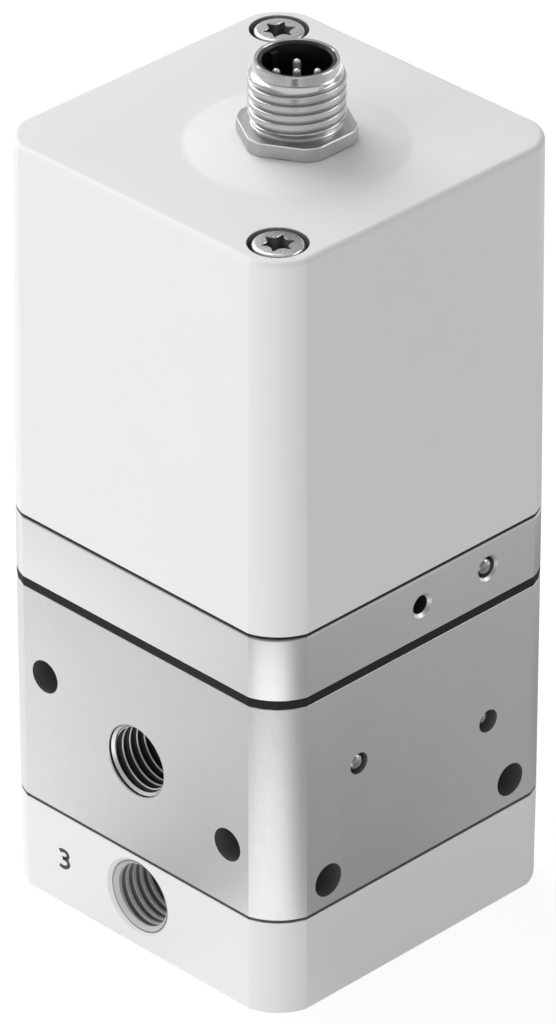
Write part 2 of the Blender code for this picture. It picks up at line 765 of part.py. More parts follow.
def make_guide():
    """Turned guide of the hollow poppet, with an O-ring outside and one round the stem."""
    bore = POPPET_STEM_RADIUS + FIT_GAP
    outside = SUPPLY_CHAMBER_RADIUS - FIT_GAP
    middle = GUIDE_FLANGE_HEIGHT / 2
    low, high = middle - GROOVE_HEIGHT / 2, middle + GROOVE_HEIGHT / 2
    groove_depth = 2 * RING_WIRE + FIT_GAP
    top = GUIDE_FLANGE_HEIGHT + GUIDE_NECK_HEIGHT
    section = [
        (bore, 0),
        (bore, low),
        (bore + groove_depth, low),
        (bore + groove_depth, high),
        (bore, high),
        (bore, top),
        (GUIDE_NECK_RADIUS, top),
        (GUIDE_NECK_RADIUS, GUIDE_FLANGE_HEIGHT),
        (outside, GUIDE_FLANGE_HEIGHT),
        (outside, high),
        (outside - groove_depth, high),
        (outside - groove_depth, low),
        (outside, low),
        (outside, 0),
    ]
    at = (0, 0, GUIDE_BOTTOM)
    turned("poppet_guide", section, BRASS, at)
    ring_at = (0, 0, GUIDE_BOTTOM + middle)
    inner = circle_section(bore + groove_depth / 2, 0, RING_WIRE)
    outer = circle_section(outside - groove_depth / 2, 0, RING_WIRE)
    turned("stem_o_ring", inner, BLACK_RUBBER, ring_at, HOLE_FACETS)
    turned("guide_o_ring", outer, BLACK_RUBBER, ring_at)


def make_poppet():
    """Hollow poppet: exhaust air leaves down its bore when the tappet lifts off the disc."""
    height = POPPET_TOP - STEM_BOTTOM
    recess = DISC_THICKNESS - DISC_PROUD + SEAT_GAP
    disc_seat = height - recess
    pocket = DISC_RADIUS + FIT_GAP
    section = [
        (POPPET_BORE_RADIUS, 0),
        (POPPET_BORE_RADIUS, disc_seat),
        (pocket, disc_seat),
        (pocket, height),
        (POPPET_HEAD_RADIUS, height),
        (POPPET_HEAD_RADIUS, height - POPPET_HEAD_HEIGHT),
        (POPPET_STEM_RADIUS, height - POPPET_HEAD_HEIGHT),
        (POPPET_STEM_RADIUS, 0),
    ]
    turned("main_poppet", section, BRASS, (0, 0, STEM_BOTTOM), 16)
    disc = [
        (POPPET_BORE_RADIUS, 0),
        (POPPET_BORE_RADIUS, DISC_THICKNESS),
        (DISC_RADIUS, DISC_THICKNESS),
        (DISC_RADIUS, 0),
    ]
    turned("poppet_disc", disc, BLACK_RUBBER, (0, 0, DISC_TOP - DISC_THICKNESS), 16)
    spring_foot = GUIDE_SHOULDER + SEAT_GAP
    spring_length = POPPET_TOP - POPPET_HEAD_HEIGHT - SEAT_GAP - spring_foot
    coil_spring(
        "poppet_spring",
        STAINLESS,
        (0, 0, spring_foot),
        spring_length,
        GUIDE_NECK_RADIUS + FIT_GAP + 2 * SPRING_WIRE,
        SPRING_WIRE,
        SPRING_TURNS,
    )


def make_diaphragm():
    """Rubber sheet: a square rim clamped between the blocks and a thin rolled web inside it."""
    rim = lofted(
        "diaphragm",
        body_layer(BLOCK_TOP + SEAT_GAP, PLATE_BOTTOM - SEAT_GAP),
        BLACK_RUBBER,
    )
    chamber = OUTPUT_CHAMBER_RADIUS
    holes = [(0, 0, chamber), (RISER_X, UPPER_BALL_Y, RISER_RADIUS), (RISER_X, SENSE_Y, RISER_RADIUS)]
    holes += [(x, y, PLATE_SCREW[0] + FIT_GAP) for x, y in plate_screw_places()]
    pierce(rim, holes, PLATE_BOTTOM)
    join(rim, turned("diaphragm_web", web_section(chamber), at=(0, 0, WEB_BOTTOM)))


def web_section(chamber):
    """Flat clamped zone, half-round roll, and an outer edge let into the rim."""
    inner = LOWER_DISC_RADIUS + FIT_GAP
    edge = chamber + DIAPHRAGM_RIM / 3
    span = chamber - inner
    roll = []
    for step in range(1, 4):
        share = step / 4
        roll.append((inner + span * share, WEB_ROLL_HEIGHT * math.sin(math.pi * share)))
    hole = STUD_RADIUS + FIT_GAP
    lower = [(hole, 0), (inner, 0)] + roll + [(chamber, 0), (edge, 0)]
    upper = [(radius, height + WEB_THICKNESS) for radius, height in reversed(lower)]
    return lower + upper


def make_diaphragm_plates():
    """Plates that clamp the web: the lower one has the tappet below and the stud above."""
    tappet_tip = DISC_TOP + SEAL_GAP
    lower_top = WEB_BOTTOM - SEAT_GAP
    lower_bottom = lower_top - LOWER_DISC_THICKNESS
    upper_bottom = WEB_TOP + SEAT_GAP
    nut_bottom = upper_bottom + UPPER_DISC_THICKNESS + SEAT_GAP
    stud_top = nut_bottom + NUT_HEIGHT + STUD_RADIUS / 4
    tip_edge = TAPPET_RADIUS / 10
    section = [
        (0, tappet_tip),
        (TAPPET_RADIUS - tip_edge, tappet_tip),
        (TAPPET_RADIUS, tappet_tip + tip_edge),
        (TAPPET_RADIUS, lower_bottom),
        (LOWER_DISC_RADIUS, lower_bottom),
        (LOWER_DISC_RADIUS, lower_top),
        (STUD_RADIUS, lower_top),
        (STUD_RADIUS, stud_top),
        (0, stud_top),
    ]
    section = [(radius, height - tappet_tip) for radius, height in section]
    turned("lower_diaphragm_plate", section, BRIGHT_ALUMINIUM, (0, 0, tappet_tip), 16)
    hole = STUD_RADIUS + FIT_GAP
    washer = [
        (hole, 0),
        (hole, UPPER_DISC_THICKNESS),
        (UPPER_DISC_RADIUS, UPPER_DISC_THICKNESS),
        (UPPER_DISC_RADIUS, 0),
    ]
    turned("upper_diaphragm_plate", washer, BRIGHT_ALUMINIUM, (0, 0, upper_bottom), 16)
    nut = lofted(
        "diaphragm_nut",
        [(height, regular_outline(NUT_ACROSS_FLATS)) for height in (0, NUT_HEIGHT)],
        STAINLESS,
        (0, 0, nut_bottom),
    )
    mouth = (0, 0, nut_bottom + NUT_HEIGHT)
    through = [(hole, NUT_HEIGHT + OVERCUT)]
    drill(nut, "cut_diaphragm_nut", mouth, (0, 0, -1), through, point=False)


def make_plate():
    """Pilot plate: the chamber over the diaphragm, risers, vent hole and the screws' holes."""
    half = BODY_WIDTH / 2
    plate = lofted("pilot_plate", body_layer(PLATE_BOTTOM, PLATE_TOP), BRIGHT_ALUMINIUM)
    chamber = [
        (OUTPUT_CHAMBER_RADIUS, PILOT_CHAMBER_DEPTH),
        (PILOT_WELL_RADIUS, PILOT_WELL_DEPTH),
    ]
    up = (0, 0, 1)
    down = (0, 0, -1)
    mouth = (0, 0, PLATE_BOTTOM)
    drill(plate, "cut_pilot_chamber", mouth, up, chamber, facets=BORE_FACETS, point=False)
    through = PLATE_HEIGHT + OVERCUT
    passages = (
        ("supply_riser", RISER_X, UPPER_BALL_Y, RISER_RADIUS, through),
        ("sense_riser", RISER_X, SENSE_Y, RISER_RADIUS, through),
        ("fill_outlet", VALVE_X, UPPER_BALL_Y, VALVE_PASSAGE_RADIUS, through),
        ("exhaust_inlet", VALVE_X, 0.0, VALVE_PASSAGE_RADIUS, through),
        ("vent_riser", RISER_X, 0.0, VALVE_PASSAGE_RADIUS, PLATE_HEIGHT - VENT_HEIGHT),
    )
    for name, x, y, radius, depth in passages:
        mouth = (x, y, PLATE_TOP)
        hole = [(radius, depth)]
        drill(plate, f"cut_{name}", mouth, down, hole, facets=SMALL_FACETS, point=False)
    drill(
        plate,
        "cut_sensor_pocket",
        (RISER_X, SENSE_Y, PLATE_TOP),
        down,
        [(SENSOR_STUB_RADIUS + FIT_GAP, SENSOR_STUB_LENGTH + SEAT_GAP)],
        facets=SMALL_FACETS,
        point=False,
    )
    crosses = (
        ("vent", 0.0, VENT_HEIGHT, VENT_RADIUS, VENT_CHAMFER),
        ("plate_ball", PLATE_BALL_Y, PLATE_BALL_HEIGHT, PLATE_BALL_RADIUS, BALL_CHAMFER),
    )
    for name, y, height, radius, chamfer in crosses:
        mouth = (half, y, PLATE_BOTTOM + height)
        depth = half - RISER_X + RISER_RADIUS / 2
        hole = [(radius, depth)]
        drill(plate, f"cut_{name}_cross", mouth, (-1, 0, 0), hole, chamfer, point=False)
    shank, head, head_height = PLATE_SCREW
    for index, (x, y) in enumerate(plate_screw_places(), 1):
        pocket = head_height + SCREW_SINK
        sections = [(head + FIT_GAP, pocket), (shank + FIT_GAP, PLATE_HEIGHT + OVERCUT)]
        mouth = (x, y, PLATE_TOP)
        drill(plate, f"cut_plate_screw_{index}", mouth, down, sections, point=False)
        length = PLATE_HEIGHT - pocket + DIAPHRAGM_RIM + PLATE_SCREW_GRIP
        seat = (x, y, PLATE_TOP - pocket)
        screw(f"plate_screw_{index}", seat, 1, PLATE_SCREW, length, "hex")
    for name, x, y in cover_screw_places():
        hole = [(COVER_SCREW[0] + FIT_GAP, COVER_SCREW_GRIP + OVERCUT / 2)]
        mouth = (x, y, PLATE_TOP)
        drill(plate, f"cut_plate_cover_{name}", mouth, down, hole, facets=16, point=False)
    for index, (x, y) in enumerate(valve_screw_places(), 1):
        hole = [(VALVE_SCREW[0] + FIT_GAP / 2, VALVE_SCREW_GRIP + FIT_GAP)]
        mouth = (x, y, PLATE_TOP)
        name = f"cut_plate_valve_{index}"
        drill(plate, name, mouth, down, hole, facets=SMALL_FACETS, point=False)


def make_pilot_valve(name, y):
    """Small solenoid valve: a spring holds its armature on a nozzle until the coil lifts it."""
    bore = ARMATURE_RADIUS + ARMATURE_RUNNING_GAP
    tube = bore + TUBE_WALL
    make_valve_body(name, y, bore, tube)
    armature_foot = VALVE_BOTTOM + NOZZLE_TOP + SEAL_GAP
    armature_top = armature_foot + ARMATURE_LENGTH
    pocket = PILOT_SPRING_RADIUS + 2 * PILOT_SPRING_WIRE
    floor = ARMATURE_LENGTH - PILOT_SPRING_DEPTH
    section = [
        (0, 0),
        (ARMATURE_RADIUS, 0),
        (ARMATURE_RADIUS, ARMATURE_LENGTH),
        (pocket, ARMATURE_LENGTH),
        (pocket, floor),
        (0, floor),
    ]
    turned(name + "_armature", section, STAINLESS, (VALVE_X, y, armature_foot), HOLE_FACETS)
    tube_foot = VALVE_BOTTOM + VALVE_BASE_HEIGHT - TUBE_SEAT_DEPTH + SEAT_GAP
    core_face = armature_top + ARMATURE_LIFT + SEAL_GAP
    section = [
        (bore, tube_foot),
        (bore, core_face),
        (0, core_face),
        (0, core_face + CORE_LENGTH),
        (tube, core_face + CORE_LENGTH),
        (tube, tube_foot),
    ]
    section = [(radius, height - tube_foot) for radius, height in section]
    turned(name + "_core", section, STAINLESS, (VALVE_X, y, tube_foot), HOLE_FACETS)
    spring_foot = armature_foot + floor + SEAT_GAP
    coil_spring(
        name + "_spring",
        STAINLESS,
        (VALVE_X, y, spring_foot),
        core_face - SEAT_GAP - spring_foot,
        PILOT_SPRING_RADIUS,
        PILOT_SPRING_WIRE,
        4.0,
        facets=8,
    )
    make_coil(name, y, tube + FIT_GAP)


def make_valve_body(name, y, bore, tube):
    length, width = VALVE_LENGTH / 2, VALVE_WIDTH / 2
    top = VALVE_BOTTOM + VALVE_BASE_HEIGHT
    low = (VALVE_X - length, y - width, VALVE_BOTTOM)
    high = (VALVE_X + length, y + width, top)
    body = box(name + "_body", low, high, BLACK_PLASTIC, bevel=0.0004)
    nozzle = VALVE_BASE_HEIGHT - NOZZLE_TOP
    trench = nozzle + 0.3 * NOZZLE_TOP
    section = [
        (0, -OVERCUT),
        (tube + FIT_GAP, -OVERCUT),
        (tube + FIT_GAP, TUBE_SEAT_DEPTH),
        (bore + FIT_GAP, TUBE_SEAT_DEPTH),
        (bore + FIT_GAP, trench),
        (NOZZLE_RADIUS, trench),
        (NOZZLE_RADIUS, nozzle),
        (0, nozzle),
    ]
    bore_tool = turned(f"cut_{name}_bore", section, at=(VALVE_X, y, top), facets=HOLE_FACETS)
    bore_tool.rotation_euler.x = math.pi
    cut(body, bore_tool)
    up = (0, 0, 1)
    mouth = (VALVE_X, y, VALVE_BOTTOM)
    jet = [(NOZZLE_HOLE_RADIUS, NOZZLE_TOP + OVERCUT)]
    drill(body, f"cut_{name}_nozzle", mouth, up, jet, facets=10, point=False)
    mouth = (VALVE_X + VALVE_OFFSET, y, VALVE_BOTTOM)
    slot_top = VALVE_BOTTOM + NOZZLE_TOP
    slot_low = slot_top - 0.25 * NOZZLE_TOP
    side = [(VALVE_PASSAGE_RADIUS, NOZZLE_TOP - 0.1 * NOZZLE_TOP)]
    drill(body, f"cut_{name}_side", mouth, up, side, facets=10, point=False)
    slot = box(
        f"cut_{name}_slot",
        (VALVE_X + 2 * NOZZLE_RADIUS, y - VALVE_PASSAGE_RADIUS, slot_low),
        (VALVE_X + VALVE_OFFSET, y + VALVE_PASSAGE_RADIUS, slot_top),
    )
    cut(body, slot)
    shank, head, head_height = VALVE_SCREW
    for side in (-1, 1):
        x = VALVE_X + side * VALVE_SCREW_REACH
        end = "left" if side < 0 else "right"
        mouth = (x, y, top)
        hole = [(shank + FIT_GAP / 2, VALVE_BASE_HEIGHT + OVERCUT)]
        drill(body, f"cut_{name}_{end}", mouth, (0, 0, -1), hole, facets=SMALL_FACETS, point=False)
        length = VALVE_BASE_HEIGHT + SEAT_GAP + VALVE_SCREW_GRIP
        screw(f"{name}_screw_{end}", mouth, 1, VALVE_SCREW, length, "hex")


def make_coil(name, y, hole):
    """Wound bobbin inside a C-shaped steel yoke, both round the guide tube."""
    foot = VALVE_BOTTOM + VALVE_BASE_HEIGHT + SEAT_GAP
    coil_foot = foot + YOKE_THICKNESS + SEAT_GAP
    flange = COIL_HEIGHT / 14
    winding = COIL_RADIUS * 0.9
    section = [
        (hole, 0),
        (hole, COIL_HEIGHT),
        (COIL_RADIUS, COIL_HEIGHT),
        (COIL_RADIUS, COIL_HEIGHT - flange),
        (winding, COIL_HEIGHT - flange),
        (winding, flange),
        (COIL_RADIUS, flange),
        (COIL_RADIUS, 0),
    ]
    turned(name + "_coil", section, COPPER, (VALVE_X, y, coil_foot), HOLE_FACETS)
    roof = coil_foot + COIL_HEIGHT + SEAT_GAP
    back = COIL_RADIUS + FIT_GAP + YOKE_THICKNESS
    low = (VALVE_X - back, y - COIL_RADIUS, foot)
    high = (VALVE_X + COIL_RADIUS, y + COIL_RADIUS, roof + YOKE_THICKNESS)
    yoke = box(name + "_yoke", low, high, STAINLESS, bevel=0.0002)
    window = box(
        f"cut_{name}_window",
        (VALVE_X - back + YOKE_THICKNESS, y - COIL_RADIUS - OVERCUT, foot + YOKE_THICKNESS),
        (VALVE_X + COIL_RADIUS + OVERCUT, y + COIL_RADIUS + OVERCUT, roof),
    )
    cut(yoke, window)
    mouth = (VALVE_X, y, roof + YOKE_THICKNESS)
    through = [(hole, roof + YOKE_THICKNESS - foot + OVERCUT)]
    drill(yoke, f"cut_{name}_yoke", mouth, (0, 0, -1), through, facets=HOLE_FACETS, point=False)


def cavity_tool(name):
    """The cover's inside: the body outline less the wall, the screw columns and the board rails."""
    low = PLATE_TOP - OVERCUT
    levels = body_layer(low, ROOF_UNDERSIDE, -COVER_WALL, -COVER_WALL - COVER_DRAFT)
    tool = lofted(name, levels)
    for end, x, y in cover_screw_places():
        step = COVER_TOP - 2 * (COVER_SCREW[2] + COVER_SCREW_SINK)
        column = [(0, low - OVERCUT), (COVER_BOSS_RADIUS, low - OVERCUT), (COVER_BOSS_RADIUS, step)]
        column += [(COVER_COLUMN_RADIUS, step), (COVER_COLUMN_RADIUS, COVER_TOP), (0, COVER_TOP)]
        cut(tool, turned(f"{name}_column_{end}", column, at=(x, y, 0), facets=16))
    wall = BODY_WIDTH / 2 - COVER_WALL
    slot = BOARD_THICKNESS / 2 + RAIL_SLOT_GAP
    for side in (-1, 1):
        y_low, y_high = sorted((side * (wall - RAIL_DEPTH), side * BODY_WIDTH / 2))
        for edge in (-1, 1):
            x_low, x_high = sorted(
                (CONTROL_BOARD_X + edge * slot, CONTROL_BOARD_X + edge * (slot + RAIL_THICKNESS))
            )
            low_corner = (x_low, y_low, low - OVERCUT)
            cut(tool, box(f"{name}_rail_{side}_{edge}", low_corner, (x_high, y_high, COVER_TOP)))
    return tool


def make_cover():
    """Moulded cover: drafted walls, a shallow dome with a flat land for the connector."""
    cover = lofted(
        "top_cover",
        body_layer(COVER_BOTTOM, COVER_TOP, 0, -COVER_DRAFT, round_high=COVER_EDGE_ROUND),
        WHITE_PLASTIC,
    )
    join(cover, turned("cover_dome", dome_section(), at=(CONNECTOR_X, 0, COVER_TOP), facets=30))
    cavity = cavity_tool("cut_cover_cavity")
    cut(cover, cavity)
    down = (0, 0, -1)
    drill(
        cover,
        "cut_connector_hole",
        (CONNECTOR_X, 0, LAND_TOP),
        down,
        [(BARREL_RADIUS + FIT_GAP, DOME_HEIGHT + COVER_ROOF + OVERCUT)],
        CONNECTOR_SEAL_CHAMFER,
        BORE_FACETS,
        point=False,
    )
    shank, head, head_height = COVER_SCREW
    pocket = head_height + COVER_SCREW_SINK
    gasket = lofted(
        "cover_gasket",
        body_layer(PLATE_TOP + SEAT_GAP, COVER_BOTTOM - SEAT_GAP, -SEAT_GAP, -SEAT_GAP),
        BLACK_RUBBER,
    )
    cut(gasket, cavity)
    for name, x, y in cover_screw_places():
        sections = [
            (head + COVER_COUNTERBORE_GAP, pocket),
            (shank + 2 * FIT_GAP, COVER_HEIGHT + OVERCUT / 2),
        ]
        mouth = (x, y, COVER_TOP)
        hole = drill(cover, f"cut_cover_screw_{name}", mouth, down, sections, facets=16, point=False)
        cut(gasket, hole)
        length = COVER_HEIGHT - pocket + GASKET_THICKNESS + COVER_SCREW_GRIP
        screw(f"cover_screw_{name}", (x, y, COVER_TOP - pocket), 1, COVER_SCREW, length, "lobes")


def dome_section():
    """Spherical rise from the roof's plane at the dome's radius to the flat land."""
    drop = DOME_RADIUS**2 - DOME_LAND_RADIUS**2 - DOME_HEIGHT**2
    centre = -drop / (2 * DOME_HEIGHT)
    sphere = math.hypot(DOME_RADIUS, centre)
    root = COVER_ROOF / 2
    section = [(0, -root)]
    steps = 3
    for step in range(steps + 1):
        share = step / steps
        reach = DOME_RADIUS + root / 2 - (DOME_RADIUS + root / 2 - DOME_LAND_RADIUS) * share
        section.append((reach, centre + math.sqrt(sphere**2 - reach**2)))
    section.insert(1, (section[1][0], -root))
    section.append((0, DOME_HEIGHT))
    return section


def make_connector():
    """Round connector: hexagon flange and sleeve in one piece, insert, contacts, nut and O-ring."""
    foot = LAND_TOP + SEAT_GAP
    at = (CONNECTOR_X, 0, foot)
    outline = regular_outline(FLANGE_ACROSS_FLATS, corner_radius=FLANGE_CORNER_RADIUS)
    levels = [(0, outline), (FLANGE_HEIGHT, outline)]
    sleeve = lofted("connector_sleeve", levels, NICKEL, at)
    join(sleeve, turned("sleeve_barrel", sleeve_section(foot), at=at))
    bore = [(INSERT_RADIUS + FIT_GAP / 2, SLEEVE_HEIGHT + BARREL_LENGTH + OVERCUT)]
    mouth = (CONNECTOR_X, 0, RIM_TOP)
    drill(sleeve, "cut_sleeve_bore", mouth, (0, 0, -1), bore, facets=BORE_FACETS, point=False)
    make_insert()
    nut_top = ROOF_UNDERSIDE - SEAT_GAP
    nut = lofted(
        "connector_nut",
        [(z, regular_outline(CONNECTOR_NUT_ACROSS_FLATS)) for z in (0, CONNECTOR_NUT_HEIGHT)],
        NICKEL,
        (CONNECTOR_X, 0, nut_top - CONNECTOR_NUT_HEIGHT),
    )
    through = [(BARREL_RADIUS + FIT_GAP, CONNECTOR_NUT_HEIGHT + OVERCUT)]
    mouth = (CONNECTOR_X, 0, nut_top)
    drill(nut, "cut_connector_nut", mouth, (0, 0, -1), through, facets=BORE_FACETS, point=False)
    wire = 0.27 * CONNECTOR_SEAL_CHAMFER
    ring = circle_section(BARREL_RADIUS + FIT_GAP / 2 + wire, -FIT_GAP / 2 - wire, wire)
    turned("connector_o_ring", ring, BLACK_RUBBER, (CONNECTOR_X, 0, LAND_TOP))


def sleeve_section(foot):
    """Barrel below the flange, undercut, thread diameter and collar, measured from the foot."""
    flange = FLANGE_HEIGHT
    thread_foot = flange + SLEEVE_UNDERCUT_HEIGHT
    thread_top = thread_foot + SLEEVE_THREAD_HEIGHT
    return [
        (0, SLEEVE_BOTTOM - foot),
        (BARREL_RADIUS, SLEEVE_BOTTOM - foot),
        (BARREL_RADIUS, flange / 2),
        (SLEEVE_UNDERCUT_RADIUS, flange / 2),
        (SLEEVE_UNDERCUT_RADIUS, thread_foot),
        (SLEEVE_RADIUS, thread_foot + SLEEVE_EDGE / 2),
        (SLEEVE_RADIUS, thread_top - SLEEVE_EDGE),
        (SLEEVE_COLLAR_RADIUS, thread_top),
        (SLEEVE_COLLAR_RADIUS, SLEEVE_HEIGHT),
        (0, SLEEVE_HEIGHT),
    ]


def make_insert():
    """Black insert: a thin-walled cup with a coding key inside, and five contacts through it."""
    top = RIM_TOP - INSERT_SUNK
    floor = RIM_TOP - INSERT_FLOOR
    inside = INSERT_RADIUS - INSERT_WALL
    bore = PIN_RADIUS + PIN_GAP
    section = [
        (bore, SLEEVE_BOTTOM),
        (INSERT_RADIUS, SLEEVE_BOTTOM),
        (INSERT_RADIUS, top),
        (inside + INSERT_WALL / 2, top),
        (inside, top - INSERT_WALL / 2),
        (inside, floor),
        (bore, floor),
    ]
    section = [(radius, height - SLEEVE_BOTTOM) for radius, height in section]
    at = (CONNECTOR_X, 0, SLEEVE_BOTTOM)
    insert = turned("connector_insert", section, BLACK_PLASTIC, at)
    key = box(
        "insert_key",
        (CONNECTOR_X - inside - INSERT_WALL / 2, -KEY_WIDTH / 2, floor - INSERT_WALL),
        (CONNECTOR_X - inside + KEY_REACH, KEY_WIDTH / 2, top - INSERT_WALL),
    )
    key.hide_render = True
    join(insert, key)
    tip = RIM_TOP - PIN_SUNK
    tail = SLEEVE_BOTTOM - PIN_TAIL
    for index, (x, y) in enumerate(pin_places(), 1):
        if index > 1:
            mouth = (x, y, floor)
            hole = [(bore, floor - SLEEVE_BOTTOM + OVERCUT)]
            name = f"cut_pin_{index}"
            drill(insert, name, mouth, (0, 0, -1), hole, facets=PIN_HOLE_FACETS, point=False)
        nose = [
            (PIN_RADIUS * math.sin(a), tip - tail - PIN_RADIUS * (1 - math.cos(a)))
            for a in (0, math.pi / 6, math.pi / 3, math.pi / 2)
        ]
        section = nose + [(PIN_RADIUS, 0), (0, 0)]
        turned(f"contact_pin_{index}", section, NICKEL, (x, y, tail), SMALL_FACETS)


def make_sensor():
    """Pressure sensor with a stub in the plate, over the sense line."""
    length, width, height = SENSOR_SIZE
    low = (RISER_X - length / 2, SENSE_Y - width / 2, VALVE_BOTTOM)
    high = (RISER_X + length / 2, SENSE_Y + width / 2, VALVE_BOTTOM + height)
    sensor = box("pressure_sensor", low, high, BLACK_PLASTIC, bevel=0.0003)
    root = height / 2
    stub = [
        (0, root),
        (SENSOR_STUB_RADIUS, root),
        (SENSOR_STUB_RADIUS, -SENSOR_STUB_LENGTH),
        (0, -SENSOR_STUB_LENGTH),
    ]
    join(sensor, turned("sensor_stub", stub, at=(RISER_X, SENSE_Y, VALVE_BOTTOM), facets=SMALL_FACETS))
    mouth = (RISER_X, SENSE_Y, VALVE_BOTTOM - SENSOR_STUB_LENGTH)
    hole = [(SENSOR_STUB_RADIUS / 2, SENSOR_STUB_LENGTH + root)]
    drill(sensor, "cut_sensor_hole", mouth, (0, 0, 1), hole, facets=SMALL_FACETS, point=False)


def make_boards():
    """Control board in the cover's rails, its processor, and the board behind the connector."""
    half = BOARD_THICKNESS / 2
    reach = BODY_WIDTH / 2 - COVER_WALL - COVER_DRAFT - BOARD_SIDE_GAP
    foot = VALVE_BOTTOM
    top = ROOF_UNDERSIDE - CONTROL_BOARD_TOP_GAP
    face = CONTROL_BOARD_X + half
    box("control_board", (CONTROL_BOARD_X - half, -reach, foot), (face, reach, top), BOARD_GREEN)
    chip_y, chip_rise = CHIP_AT
    thickness, width, height = CHIP_SIZE
    box(
        "control_chip",
        (face + SEAT_GAP, chip_y - width / 2, foot + chip_rise),
        (face + SEAT_GAP + thickness, chip_y + width / 2, foot + chip_rise + height),
        BLACK_PLASTIC,
        bevel=0.0002,
    )
    header_depth, header_width, header_height = HEADER_SIZE
    length, width = CONNECTOR_BOARD_SIZE
    board_top = SLEEVE_BOTTOM - CONNECTOR_BOARD_DROP
    board_bottom = board_top - BOARD_THICKNESS
    x_low = face + SEAT_GAP + header_depth / 4
    board = box(
        "connector_board",
        (x_low, -width / 2, board_bottom),
        (x_low + length, width / 2, board_top),
        BOARD_GREEN,
    )
    for index, (x, y) in enumerate(pin_places(), 1):
        mouth = (x, y, board_top)
        hole = [(PIN_RADIUS + PIN_GAP, BOARD_THICKNESS + OVERCUT)]
        name = f"cut_board_{index}"
        drill(board, name, mouth, (0, 0, -1), hole, facets=PIN_HOLE_FACETS, point=False)
    header_top = board_bottom - SEAT_GAP
    box(
        "board_header",
        (face + SEAT_GAP, -header_width / 2, header_top - header_height),
        (face + SEAT_GAP + header_depth, header_width / 2, header_top),
        BLACK_PLASTIC,
        bevel=0.0002,
    )


def main():
    clear_scene()
    make_base()
    make_block()
    make_ball_plugs()
    make_guide()
    make_poppet()
    make_diaphragm()
    make_diaphragm_plates()
    make_plate()
    make_pilot_valve("fill_valve", UPPER_BALL_Y)
    make_pilot_valve("exhaust_valve", 0.0)
    make_sensor()
    make_boards()
    make_cover()
    make_connector()


main()
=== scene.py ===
import math

import bmesh
import bpy
import numpy as np
from mathutils import Matrix, Vector


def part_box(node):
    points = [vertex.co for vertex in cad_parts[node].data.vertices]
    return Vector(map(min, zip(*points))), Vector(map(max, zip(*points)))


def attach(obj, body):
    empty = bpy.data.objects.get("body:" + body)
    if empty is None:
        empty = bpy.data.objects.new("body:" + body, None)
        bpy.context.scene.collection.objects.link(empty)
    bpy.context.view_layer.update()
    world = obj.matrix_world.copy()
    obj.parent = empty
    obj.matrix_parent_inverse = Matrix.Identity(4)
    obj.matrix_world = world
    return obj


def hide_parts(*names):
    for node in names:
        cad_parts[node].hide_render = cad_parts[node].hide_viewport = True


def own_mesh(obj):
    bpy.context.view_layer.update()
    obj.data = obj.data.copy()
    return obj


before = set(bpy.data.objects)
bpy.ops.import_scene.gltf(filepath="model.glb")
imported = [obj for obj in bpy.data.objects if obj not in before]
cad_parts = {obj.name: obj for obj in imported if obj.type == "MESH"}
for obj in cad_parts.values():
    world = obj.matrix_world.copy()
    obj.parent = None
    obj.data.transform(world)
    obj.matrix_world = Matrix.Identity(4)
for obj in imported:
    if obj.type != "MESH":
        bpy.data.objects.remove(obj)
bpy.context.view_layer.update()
mm = 0.001
connectorX = 3.15  # mm, axis of the connector and of the dome round it
tolerance = 0.01  # mm, for faces that are picked by their place

# ---- camera: set from the corners, holes and layer lines of the picture
cameraSettings = {
    "target": (-0.044, -0.044, 53.2325),
    "azimuth": 45.1495,
    "elevation": 31.042,
    "distance": 1028.675,
    "lens": 291.03,
    "sensor": 36.0,
}


def makeCamera(s):
    azimuth, elevation = math.radians(s["azimuth"]), math.radians(s["elevation"])
    back = Vector((
        math.sin(azimuth) * math.cos(elevation),
        -math.cos(azimuth) * math.cos(elevation),
        math.sin(elevation),
    ))
    right = Vector((0, 0, 1)).cross(back).normalized()
    up = back.cross(right)
    place = Matrix((right, up, back)).transposed().to_4x4()
    place.translation = Vector(s["target"]) * mm + back * s["distance"] * mm
    data = bpy.data.cameras.new("photoCamera")
    data.lens = s["lens"]
    data.sensor_width = s["sensor"]
    data.clip_start, data.clip_end = 0.05, 20.0
    camera = bpy.data.objects.new("photoCamera", data)
    bpy.context.scene.collection.objects.link(camera)
    camera.matrix_world = place
    bpy.context.scene.camera = camera


makeCamera(cameraSettings)
print("camera placed")


# ---- small helpers for colours and shader nodes
def hexToLinear(text):
    parts = [int(text[i:i + 2], 16) / 255 for i in (1, 3, 5)]
    linear = [p / 12.92 if p <= 0.04045 else ((p + 0.055) / 1.055) ** 2.4 for p in parts]
    return (*linear, 1.0)


def addNode(tree, kind, settings=None, links=None):
    # settings go to the node or to its input sockets, links are socket: (node, output); a socket or
    # an output is a name or a number
    node = tree.nodes.new(kind)
    for key, value in (settings or {}).items():
        if isinstance(key, int) or key in node.inputs:
            node.inputs[key].default_value = value
        else:
            setattr(node, key, value)
    for key, (source, output) in (links or {}).items():
        tree.links.new(source.outputs[output], node.inputs[key])
    return node


def emptyTree(owner):
    owner.use_nodes = True
    owner.node_tree.nodes.clear()
    return owner.node_tree


